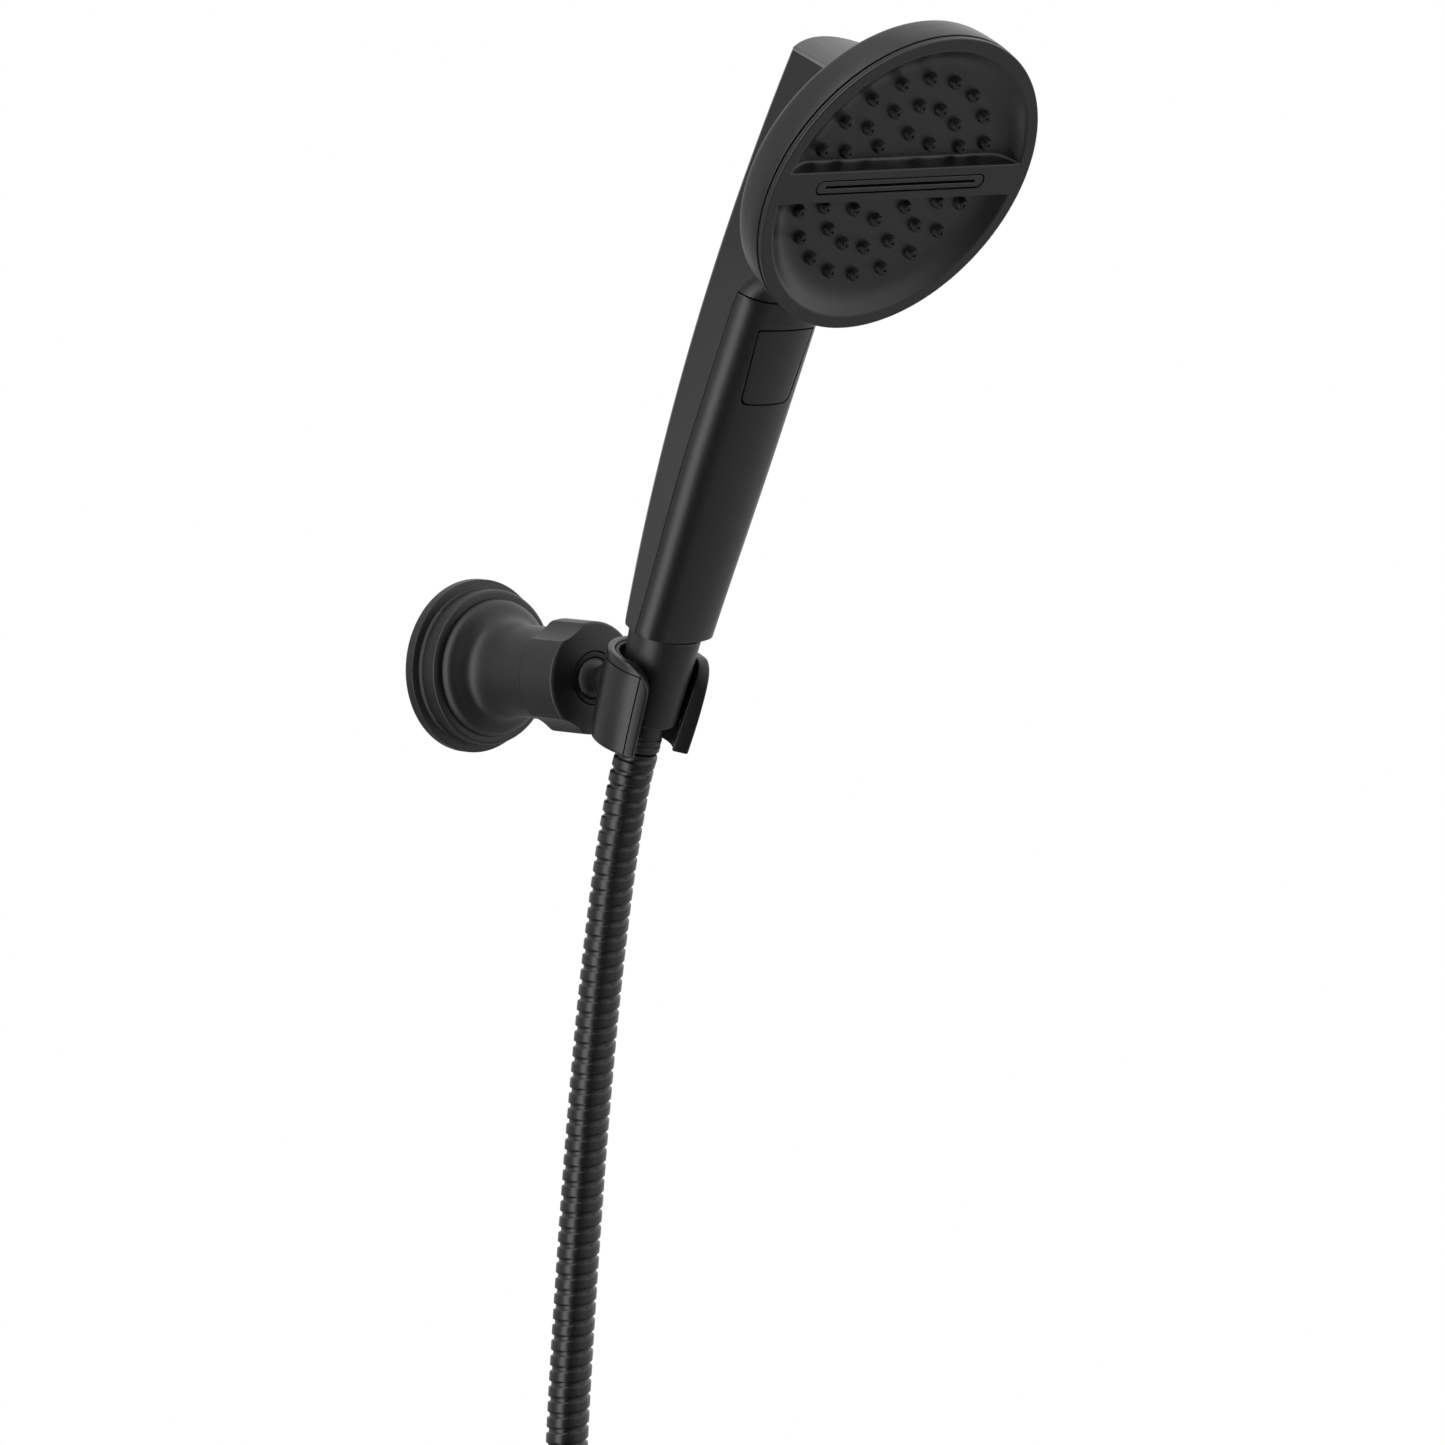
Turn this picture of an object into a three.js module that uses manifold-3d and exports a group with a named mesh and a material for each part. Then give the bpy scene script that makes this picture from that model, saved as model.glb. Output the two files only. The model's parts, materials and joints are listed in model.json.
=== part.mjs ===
// Handheld shower head on a swivelling wall bracket, with its metal hose.
// Millimetres, +Z up. The wall is the plane Y = 0 and the object stands out from it towards -Y.
// The origin is the centre of the bracket's wall face; the whole object is symmetric about X = 0.
import * as THREE from 'three';
import { mergeVertices } from 'three/addons/utils/BufferGeometryUtils.js';
import Module from 'manifold-3d';

const wasm = await Module();
wasm.setup();

const DEGREE = Math.PI / 180;
const GAP = 0.3;                       // clearance between touching pieces

// Wall bracket, turned about the Y axis. Distances from the wall are negative Y.
const FLANGE_RADIUS = 28.7;
const RING_RADIUS = 26;                // second, smaller step of the flange
const RING_FRONT = -11;
const STEM_RADIUS = 15.3;
const STEM_END = -42.3;
const NECK_RADIUS = 13;                // threaded neck under the clamp nut
const NECK_END = -50;
const NUT_RADIUS = 18.6;
const NUT_BACK = -42.6;
const NUT_FRONT = -62;
const SCALLOP_RADIUS = 20;
const SCALLOP_DEPTH_RADIUS = 17.1;     // distance from the axis to the bottom of a scallop
const SCALLOP_ANGLES = [90, 210, 330]; // from straight up, towards +X
const BALL_Y = -58.2;
const BALL_RADIUS = 7.6;
const SEAT_RADIUS = BALL_RADIUS + GAP + 0.15;   // the rest clears the flats of the two spheres
const STUD_RADIUS = 4.5;
const STUD_FLANGE = 7;
const TENON_RADIUS = 3.8;
const WALL_SCREW_HOLE = 2.6;
const WALL_SCREW_X = 15.5;
const SET_SCREW_RADIUS = 2;
const SET_SCREW_Y = -30;
const STUD_SCREW_RADIUS = 1.6;

// Cradle and hose nut share one leaning axis, which crosses Z = 0 at AXIS_Y.
const AXIS_Y = -91.07;
const AXIS_LEAN = 19.4 * DEGREE;
const CRADLE_TOP = 10;                 // heights along the leaning axis
const CRADLE_BOTTOM = -21;
const CRADLE_TOP_RADIUS = 17.3;
const CRADLE_BOTTOM_RADIUS = 16.2;
const CRADLE_CORNER = 9;               // rounding of the mouth's upper corners
const CRADLE_BORE_TOP = 13.5;
const CRADLE_BORE_BOTTOM = 10.9;
const LINER_THICKNESS = 1.2;
const MOUTH_HALF_ANGLE = 47 * DEGREE;
const CONE_TOP = 19.1;
const CONE_BOTTOM = -12;
const CONE_TOP_RADIUS = 12;
const CONE_BOTTOM_RADIUS = 10.2;
const THREAD_RADIUS = 10.2;
const FERRULE_RADIUS = 7.1;
const FERRULE_BOTTOM = -22.3;

// Handset handle. Its cross-sections are level, and their sizes follow the height z.
const HANDLE_BOTTOM = 19;
const HANDLE_TOP = 213;
const WALL = 2.2;
const PANEL_TOP = 131;
const PANEL_DROP = 5;                  // the panel's edge meets the front face this much lower
const SECTION_FOOT = 5;                // the sections start below the handle's cut foot
const FRONT_LEAN = 25.2 * DEGREE;
const TOP_SLOPE = 20 * DEGREE;

// Spray head: a disc that looks down at 30 degrees, centred at HEAD_CENTRE on its front rim plane.
const HEAD_CENTRE = new THREE.Vector3(0, -209.8, 167);
const HEAD_TILT = 30 * DEGREE;
const HEAD_RADIUS = 54.3;
const HEAD_BACK = 15.7;
const RECESS_RADIUS = 50;
const FLOOR_RADIUS = 41.5;
const FLOOR_DEPTH = 5.5;
const BAR_HALF = 5.6;
const NOZZLE_RINGS = [
  { radius: 16, angles: [-43, 0, 43] },
  { radius: 26.4, angles: [-67, -44.5, -22, 0, 22, 44.5, 67] },
  { radius: 36.5, angles: [-72, -54, -36, -18, 0, 18, 36, 54, 72] },
];
const NOZZLE_HEIGHT = 2.8;
const NOZZLE_FOOT = 2.2;               // radii of a nozzle
const NOZZLE_TIP = 1.7;
const MOON_CORNER = 2.5;               // corner of the half-moon recesses and mats at the bar

// Mode button, in the handle's front plane: s runs up the handle from the button's foot.
const BUTTON_FOOT = new THREE.Vector3(0, -144.7, 94.7);
const BUTTON_LENGTH = 26.2;
const BUTTON_FOOT_HALF = 9.9;
const BUTTON_TOP_HALF = 11.5;
const BUTTON_CORNER = 2.6;
const BUTTON_REACH = 12;               // how far the button's cutter runs in and out of the wall
const INLET_BORE = 11.7;               // bore at the handle's foot for the inlet spigot's flange
const HEAD_TUBE_RADIUS = 4.6;
const TUBE_UP = -22;                   // where the water tube enters the head, up from its centre

// Hose: diameter, and the points that it hangs through in the plane X = 0.
const HOSE_DIAMETER = 14;
const HOSE_POINTS = [
  [0, -83.5, -21.5], [0, -78.9, -34], [0, -72.7, -58], [0, -68, -82], [0, -64, -106],
  [0, -60.6, -130], [0, -57.5, -154.5], [0, -54.8, -178.5], [0, -52.3, -202.7],
  [0, -50, -227], [0, -48, -251], [0, -46.6, -276], [0, -45.8, -302], [0, -45.5, -328],
];
// The unseen length is wound into a coil about an axis along X. It leaves the coil upwards, at the
// front, and ends in its wall fitting.
const COIL_RADIUS = 73.5;              // to the middle of the hose
const COIL_Y = -119;
const COIL_Z = -352;
const COIL_TURNS = 2.5;
const COIL_PITCH = 14.4;
const COIL_GROWTH = 0.2;               // the coil's solid stands this much proud of its turns
const TAIL_TOP = -300;

const BLACK = '#1b1b1c';

function matte(color, roughness, metalness) {
  return new THREE.MeshStandardMaterial({ color, roughness, metalness });
}

// ---- solids -------------------------------------------------------------------------------

function signedVolume(positions, index) {
  const [a, b, c] = [new THREE.Vector3(), new THREE.Vector3(), new THREE.Vector3()];
  let volume = 0;
  for (let i = 0; i < index.length; i += 3) {
    a.fromArray(positions, 3 * index[i]);
    b.fromArray(positions, 3 * index[i + 1]);
    c.fromArray(positions, 3 * index[i + 2]);
    volume += a.dot(b.cross(c)) / 6;
  }
  return volume;
}

// A closed geometry as a solid whose faces point out.
function solid(geometry) {
  const bare = geometry.clone();
  bare.deleteAttribute('normal');
  bare.deleteAttribute('uv');
  const merged = mergeVertices(bare, 1e-4);
  const positions = merged.attributes.position.array;
  const source = merged.index.array;
  const index = [];
  for (let i = 0; i < source.length; i += 3) {
    const [a, b, c] = [source[i], source[i + 1], source[i + 2]];
    if (a !== b && b !== c && c !== a) {
      index.push(a, b, c);
    }
  }
  if (signedVolume(positions, index) < 0) {
    index.reverse();
  }
  return new wasm.Manifold(new wasm.Mesh({
    numProp: 3,
    vertProperties: new Float32Array(positions),
    triVerts: new Uint32Array(index),
  }));
}

function geometryOf(body) {
  const mesh = body.getMesh();
  const geometry = new THREE.BufferGeometry();
  const positions = new Float32Array(mesh.vertProperties);
  geometry.setAttribute('position', new THREE.BufferAttribute(positions, 3));
  geometry.setIndex(Array.from(mesh.triVerts));
  geometry.computeVertexNormals();
  return geometry;
}

function part(group, name, body, material) {
  const mesh = new THREE.Mesh(geometryOf(body), material);
  mesh.name = name;
  group.add(mesh);
  return mesh;
}

// ---- shape helpers ------------------------------------------------------------------------

// Solid turned about Y from [radius, y] points. A closed profile returns to its first point, and
// any other starts and ends on the axis.
function turned(profile, segments = 28, closed = false) {
  const points = profile.map(([r, y]) => new THREE.Vector2(r, y));
  if (closed) {
    points.push(points[0].clone());
  }
  return solid(new THREE.LatheGeometry(points, segments));
}

function ring(inner, outer, y0, y1, segments = 20) {
  return turned([[inner, y0], [outer, y0], [outer, y1], [inner, y1]], segments, true);
}

// Rod of one radius from one point to another.
function rod(radius, from, to, segments = 20) {
  const a = new THREE.Vector3(...from);
  const b = new THREE.Vector3(...to);
  const axis = b.clone().sub(a);
  const geometry = new THREE.CylinderGeometry(radius, radius, axis.length(), segments);
  const turn = new THREE.Quaternion();
  turn.setFromUnitVectors(new THREE.Vector3(0, 1, 0), axis.normalize());
  geometry.applyQuaternion(turn);
  geometry.translate(...a.add(b).multiplyScalar(0.5).toArray());
  return solid(geometry);
}

function box(from, to) {
  const size = to.map((value, i) => value - from[i]);
  const geometry = new THREE.BoxGeometry(...size);
  geometry.translate(...from.map((value, i) => value + size[i] / 2));
  return solid(geometry);
}

function placed(geometry, rotationX, position) {
  geometry.applyMatrix4(new THREE.Matrix4().makeRotationX(rotationX));
  geometry.translate(position.x, position.y, position.z);
  return solid(geometry);
}

// ---- wall bracket -------------------------------------------------------------------------

function ballSolid(radius) {
  return solid(new THREE.SphereGeometry(radius, 20, 12).translate(0, BALL_Y, 0));
}

function bracket(root) {
  const black = matte(BLACK, 0.45, 0.3);
  const hole = (x) => rod(WALL_SCREW_HOLE, [x, 1, 0], [x, -6, 0]);
  const plateHoles = hole(WALL_SCREW_X).add(hole(-WALL_SCREW_X));
  const plate = turned([[0, 0], [21.8, 0], [21.8, -3.9], [21.2, -4.5], [0, -4.5]]).subtract(plateHoles);
  part(root, 'wall_plate', plate, matte('#8d9094', 0.4, 0.9));
  part(root, 'wall_gasket', ring(23.4, 26, 0, -1.6, 36), matte('#2a2a2a', 0.9, 0));
  part(root, 'mount_post', ring(6, 11.7, -4.8, -36.4, 32), matte('#8d9094', 0.4, 0.9));

  const cover = turned([
    [FLANGE_RADIUS, 0], [FLANGE_RADIUS, -3], [28.3, -3.8], [27.4, -4.1], [RING_RADIUS + 0.3, -4.2],
    [RING_RADIUS, -4.7], [RING_RADIUS, RING_FRONT + 0.8], [25.2, RING_FRONT], [23.2, -11.2],
    [22, -11.8], [21.3, -13], [20.9, -14.6], [19.9, -16], [18.2, -17.2], [16.6, -18.8],
    [15.7, -21], [STEM_RADIUS, -24], [STEM_RADIUS, STEM_END], [NECK_RADIUS, STEM_END],
    [NECK_RADIUS, NECK_END], [10.8, NECK_END], [10.8, -38.3], [12, -37.6], [12, -17],
    [22.4, -8], [22.4, -2], [26.5, -2], [26.5, 0],
  ], 36, true);
  const screwHole = rod(SET_SCREW_RADIUS + GAP, [0, SET_SCREW_Y, -8], [0, SET_SCREW_Y, -20], 16);
  part(root, 'flange_cover', cover.subtract(screwHole), black);
  const setScrew = rod(SET_SCREW_RADIUS, [0, SET_SCREW_Y, -12], [0, SET_SCREW_Y, -15], 16);
  part(root, 'set_screw', setScrew, matte('#202020', 0.5, 0.8));
  part(root, 'wave_washer', ring(7, 10.4, -36.8, -38, 32), matte('#9a9da1', 0.35, 1));

  const seat = ballSolid(SEAT_RADIUS);
  const socket = ring(3, 10.5, -38.4, -57.8, 28).subtract(seat);
  part(root, 'ball_socket', socket, matte('#d7d4cc', 0.6, 0));
  const friction = turned([
    [5, -58.1], [10.5, -58.1], [10.5, -59.2], [8.7, -59.2], [8.7, -61.9], [5, -61.9],
  ], 28, true).subtract(seat);
  part(root, 'friction_ring', friction, matte('#161617', 0.55, 0));
}

// Clamp nut with three scalloped grips.
function clampNut(root) {
  let nut = turned([
    [15.6, NUT_BACK], [17.9, NUT_BACK - 2.3], [NUT_RADIUS, NUT_BACK - 3.6], [NUT_RADIUS, NUT_FRONT + 0.9],
    [NUT_RADIUS - 0.8, NUT_FRONT], [9, NUT_FRONT], [9, -59.5], [10.8, -59.5], [10.8, -50.6],
    [NECK_RADIUS + GAP, -50.6], [NECK_RADIUS + GAP, NUT_BACK],
  ], 42, true);
  const reach = SCALLOP_DEPTH_RADIUS + SCALLOP_RADIUS;
  for (const angle of SCALLOP_ANGLES) {
    const x = reach * Math.sin(angle * DEGREE);
    const z = reach * Math.cos(angle * DEGREE);
    nut = nut.subtract(rod(SCALLOP_RADIUS, [x, NUT_BACK + 2, z], [x, NUT_FRONT - 2, z], 48));
  }
  part(root, 'clamp_nut', nut, matte(BLACK, 0.45, 0.3));
}

function swivel(root) {
  const black = matte('#0f0f10', 0.35, 0.4);
  part(root, 'swivel_ball', ballSolid(BALL_RADIUS), black);
  const seat = ballSolid(SEAT_RADIUS);
  const shaft = turned([
    [0, BALL_Y], [STUD_RADIUS, BALL_Y], [STUD_RADIUS, -69], [STUD_FLANGE, -70.2],
    [STUD_FLANGE, -71.7], [TENON_RADIUS, -71.7], [TENON_RADIUS, -75.2], [0, -75.2],
  ], 24);
  const thread = rod(STUD_SCREW_RADIUS + GAP, [0, -71, 0], [0, -80, 0], 12);
  part(root, 'ball_stud', shaft.subtract(seat).subtract(thread), black);
}

// ---- cradle, hose nut and ferrule, about the leaning axis (local Y up it, local Z to the front) --

function leaningGroup(parent) {
  const group = new THREE.Group();
  group.position.set(0, AXIS_Y, 0);
  group.rotation.x = Math.PI / 2 + AXIS_LEAN;
  parent.add(group);
  return group;
}

function boreRadius(s) {
  const t = (s - CRADLE_BOTTOM) / (CRADLE_TOP - CRADLE_BOTTOM);
  return CRADLE_BORE_BOTTOM + t * (CRADLE_BORE_TOP - CRADLE_BORE_BOTTOM);
}

// Wedge that opens the cradle's mouth, with a half angle measured from local +Z.
function mouthWedge(halfAngle, from, to) {
  const far = 60;
  const side = far * Math.tan(halfAngle);
  const shape = new THREE.Shape([
    new THREE.Vector2(0, 0), new THREE.Vector2(side, far), new THREE.Vector2(-side, far),
  ]);
  const geometry = new THREE.ExtrudeGeometry(shape, { depth: to - from, bevelEnabled: false });
  geometry.rotateX(Math.PI / 2);
  geometry.translate(0, to, 0);
  return solid(geometry);
}

// What rounding the mouth's upper corners takes away: a corner block less a cylinder along X.
function mouthCorners() {
  const front = CRADLE_TOP_RADIUS * Math.cos(MOUTH_HALF_ANGLE);
  const y = CRADLE_TOP - CRADLE_CORNER;
  const z = front - CRADLE_CORNER;
  const block = box([-30, y, z], [30, CRADLE_TOP + 2, front + 8]);
  return block.subtract(rod(CRADLE_CORNER, [-31, y, z], [31, y, z], 40));
}

// Place of a point given in world space, in the leaning group's space.
function inLeaning(x, y, z) {
  const lean = Math.PI / 2 + AXIS_LEAN;
  const point = new THREE.Vector3(x, y - AXIS_Y, z);
  return point.applyMatrix4(new THREE.Matrix4().makeRotationX(-lean)).toArray();
}

function cradle(root) {
  const group = leaningGroup(root);
  const skin = LINER_THICKNESS + GAP;
  const sleeve = turned([
    [boreRadius(CRADLE_TOP) + skin, CRADLE_TOP], [CRADLE_TOP_RADIUS - 0.7, CRADLE_TOP],
    [CRADLE_TOP_RADIUS, CRADLE_TOP - 0.9], [CRADLE_TOP_RADIUS + 0.2, -3],
    [CRADLE_BOTTOM_RADIUS, CRADLE_BOTTOM + 0.8], [CRADLE_BOTTOM_RADIUS - 0.6, CRADLE_BOTTOM],
    [boreRadius(CRADLE_BOTTOM) + skin, CRADLE_BOTTOM],
  ], 40, true);
  const boss = rod(8.2, inLeaning(0, -72, 0), inLeaning(0, -76, 0), 32);
  const socket = rod(TENON_RADIUS + GAP, inLeaning(0, -70, 0), inLeaning(0, -75.5, 0), 24);
  const seat = rod(STUD_FLANGE + GAP, inLeaning(0, -60, 0), inLeaning(0, -72, 0), 24);
  const screwHole = rod(STUD_SCREW_RADIUS + GAP, inLeaning(0, -70, 0), inLeaning(0, -80, 0), 16);
  const bore = turned([
    [0, CRADLE_TOP + 1], [boreRadius(CRADLE_TOP + 1) + skin, CRADLE_TOP + 1],
    [boreRadius(CRADLE_BOTTOM - 1) + skin, CRADLE_BOTTOM - 1], [0, CRADLE_BOTTOM - 1],
  ], 40);
  const clip = sleeve.add(boss.subtract(bore)).subtract(socket).subtract(screwHole)
    .subtract(seat)
    .subtract(mouthWedge(MOUTH_HALF_ANGLE, CRADLE_BOTTOM - 2, CRADLE_TOP + 2))
    .subtract(mouthCorners());
  part(group, 'cradle_clip', clip, matte(BLACK, 0.45, 0.2));

  const lip = 0.5;
  const liner = turned([
    [boreRadius(CRADLE_TOP - lip), CRADLE_TOP - lip],
    [boreRadius(CRADLE_TOP - lip) + LINER_THICKNESS, CRADLE_TOP - lip],
    [boreRadius(CRADLE_BOTTOM + lip) + LINER_THICKNESS, CRADLE_BOTTOM + lip],
    [boreRadius(CRADLE_BOTTOM + lip), CRADLE_BOTTOM + lip],
  ], 40, true).subtract(mouthWedge(MOUTH_HALF_ANGLE + 0.02, CRADLE_BOTTOM - 2, CRADLE_TOP + 2))
    .subtract(mouthCorners());
  part(group, 'cradle_liner', liner, matte('#121213', 0.6, 0));
  part(group, 'stud_screw', rod(STUD_SCREW_RADIUS, inLeaning(0, -72.2, 0), inLeaning(0, -76, 0), 12),
    matte('#a0a3a7', 0.35, 1));
}

function hoseNut(root) {
  const group = leaningGroup(root);
  const cone = turned([
    [THREAD_RADIUS, CONE_TOP], [CONE_TOP_RADIUS - 0.4, CONE_TOP], [CONE_TOP_RADIUS, CONE_TOP - 0.5],
    [CONE_BOTTOM_RADIUS, CONE_BOTTOM + 0.8], [CONE_BOTTOM_RADIUS - 0.6, CONE_BOTTOM],
    [7.3, CONE_BOTTOM], [7.3, 4.6], [THREAD_RADIUS, 4.6],
  ], 40, true);
  part(group, 'cone_nut', cone, matte(BLACK, 0.42, 0.3));
  const nipple = turned([
    [4.2, 6.4], [9.8, 6.4], [9.8, 4.9], [6.9, 4.9], [6.9, CONE_BOTTOM], [5, CONE_BOTTOM],
    [5, FERRULE_BOTTOM + 1], [4.2, FERRULE_BOTTOM + 1],
  ], 32, true);
  part(group, 'hose_nipple', nipple, matte('#b08d4c', 0.4, 0.9));
  part(group, 'hose_washer', ring(6, 9.8, 6.7, 8.7, 32), matte('#202020', 0.9, 0));
  const ferrule = turned([
    [5.3, CONE_BOTTOM - GAP], [FERRULE_RADIUS, CONE_BOTTOM - GAP],
    [FERRULE_RADIUS, FERRULE_BOTTOM + 3], [FERRULE_RADIUS - 0.5, FERRULE_BOTTOM + 2.7],
    [FERRULE_RADIUS - 0.5, FERRULE_BOTTOM + 2.2], [FERRULE_RADIUS, FERRULE_BOTTOM + 1.9],
    [FERRULE_RADIUS, FERRULE_BOTTOM], [5.3, FERRULE_BOTTOM],
  ], 32, true);
  part(group, 'hose_ferrule', ferrule, matte(BLACK, 0.42, 0.4));
  const spigot = turned([
    [6, 9], [9.5, 9], [9.8, 9.5], [9.8, 19.5], [INLET_BORE - GAP, 19.5], [INLET_BORE - GAP, 22.5],
    [7.4, 23], [7.4, 30], [5.6, 30], [5.6, 18], [6, 16],
  ], 24, true);
  part(group, 'inlet_spigot', spigot, matte('#2b2b2c', 0.5, 0));
  const screen = turned([[0, 9.4], [5.7, 9.4], [5.7, 10.8], [0, 10.8]], 24);
  part(group, 'inlet_screen', screen, matte('#c9ccd0', 0.4, 0.6));
}

// ---- handset handle -----------------------------------------------------------------------

const rearY = (z) => -86.9 - 0.251 * z - 0.000861 * z * z;
const NECK_DEPTH = 22;                 // how far the neck steps forward to meet the head
const frontY = (z) => -113.4 - Math.tan(FRONT_LEAN) * (z - 24)
  - NECK_DEPTH * THREE.MathUtils.smoothstep(z, 129, 152);
const rearHalf = (z) => 14 + 0.019 * (z - 24);
const sideHalf = (z) => 15.8 + 2 * THREE.MathUtils.smoothstep(z, 10, 85);
const SEAM_DEPTH = 0.68;               // seam behind the front, as a share of the half width
const REAR_BOW = 6.5;

// Outline of one level section as [x, y] points, shrunk inwards by an inset. It runs round the
// front from one seam to the other, and then round the back.
function sectionOutline(z, inset) {
  const half = sideHalf(z) - inset;
  const front = frontY(z) + inset;
  const seam = frontY(z) + SEAM_DEPTH * sideHalf(z);
  const cornerRadius = 0.62 * half;
  const crownAngle = 20 * DEGREE;
  const cornerX = half - cornerRadius;
  const crownRadius = (cornerX + cornerRadius * Math.sin(crownAngle)) / Math.sin(crownAngle);
  const crownY = front + crownRadius;
  const depth = seam - front;
  const rawDepth = crownRadius - (crownRadius - cornerRadius) * Math.cos(crownAngle);
  const points = [];
  const cornerSteps = 6;
  const crownSteps = 4;
  const corner = (angle) => [
    cornerX + cornerRadius * Math.sin(angle),
    front + (rawDepth - cornerRadius * Math.cos(angle)) * depth / rawDepth,
  ];
  for (let i = 0; i < cornerSteps; i++) {
    const angle = THREE.MathUtils.lerp(Math.PI / 2, crownAngle, i / cornerSteps);
    points.push(corner(angle));
  }
  for (let i = 0; i <= crownSteps; i++) {
    const angle = THREE.MathUtils.lerp(crownAngle, -crownAngle, i / crownSteps);
    const y = crownY - crownRadius * Math.cos(angle);
    points.push([crownRadius * Math.sin(angle), front + (y - front) * depth / rawDepth]);
  }
  for (let i = cornerSteps - 1; i >= 0; i--) {
    const angle = THREE.MathUtils.lerp(Math.PI / 2, crownAngle, i / cornerSteps);
    const [x, y] = corner(angle);
    points.push([-x, y]);
  }
  const back = rearHalf(z) - inset;
  const backSteps = 6;
  for (let i = 0; i <= backSteps; i++) {
    const x = THREE.MathUtils.lerp(-back, back, i / backSteps);
    points.push([x, rearY(z) - inset + REAR_BOW * (1 - (x / back) ** 2)]);
  }
  return points;
}

// Solid through level sections from z0 to z1.
function handleSolid(z0, z1, inset, steps) {
  const count = sectionOutline(z0, inset).length;
  const outline = Array.from({ length: count }, (_, i) => new THREE.Vector2(
    Math.cos(2 * Math.PI * i / count), Math.sin(2 * Math.PI * i / count)));
  const geometry = new THREE.ExtrudeGeometry(new THREE.Shape(outline),
    { depth: 1, steps, bevelEnabled: false });
  const position = geometry.attributes.position;
  for (let i = 0; i < position.count; i++) {
    const angle = Math.atan2(position.getY(i), position.getX(i));
    const slot = (Math.round(angle / (2 * Math.PI) * count) + count) % count;
    const z = THREE.MathUtils.lerp(z0, z1, position.getZ(i));
    const [x, y] = sectionOutline(z, inset)[slot];
    position.setXYZ(i, x, y, z);
  }
  return solid(geometry);
}

// Slab that keeps what lies behind the seam between two heights.
function behindSeam(z0, z1, shift) {
  const seamY = (z) => frontY(z) + SEAM_DEPTH * sideHalf(z) + shift;
  const heights = Array.from({ length: 9 }, (_, i) => THREE.MathUtils.lerp(z0, z1, i / 8));
  const outline = heights.map((z) => new THREE.Vector2(seamY(z), z));
  outline.push(new THREE.Vector2(-40, z1), new THREE.Vector2(-40, z0));
  const geometry = new THREE.ExtrudeGeometry(new THREE.Shape(outline),
    { depth: 60, bevelEnabled: false });
  geometry.translate(0, 0, -30);
  geometry.applyMatrix4(new THREE.Matrix4().makeBasis(
    new THREE.Vector3(0, 1, 0), new THREE.Vector3(0, 0, 1), new THREE.Vector3(1, 0, 0)));
  return solid(geometry);
}

// Everything on one side of a plane that leans with the handle and crosses (y, z).
function leaningSlab(y, z, lean, height) {
  const geometry = new THREE.BoxGeometry(80, 160, Math.abs(height));
  geometry.translate(0, 0, height / 2);
  return placed(geometry, lean, new THREE.Vector3(0, y, z));
}

// Upright prism through the button's outline, in the handle's front plane, grown by an amount.
function buttonPrism(grow, inwards, outwards) {
  const foot = BUTTON_FOOT_HALF + grow;
  const top = BUTTON_TOP_HALF + grow;
  const corner = BUTTON_CORNER;
  const low = -grow;
  const high = BUTTON_LENGTH + grow;
  const arch = 1.2;
  const shape = new THREE.Shape();
  shape.moveTo(-foot + corner, low);
  shape.lineTo(foot - corner, low);
  shape.quadraticCurveTo(foot, low, foot + 0.1, low + corner);
  shape.lineTo(top, high - corner * 0.6);
  shape.quadraticCurveTo(top, high, top - corner * 0.6, high);
  shape.quadraticCurveTo(0, high + arch, -top + corner * 0.6, high);
  shape.quadraticCurveTo(-top, high, -top, high - corner * 0.6);
  shape.lineTo(-foot - 0.1, low + corner);
  shape.quadraticCurveTo(-foot, low, -foot + corner, low);
  const geometry = new THREE.ExtrudeGeometry(shape,
    { depth: inwards + outwards, bevelEnabled: false, curveSegments: 4 });
  geometry.translate(0, 0, -inwards);
  return placed(geometry, Math.PI / 2 + FRONT_LEAN, BUTTON_FOOT);
}

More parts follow.
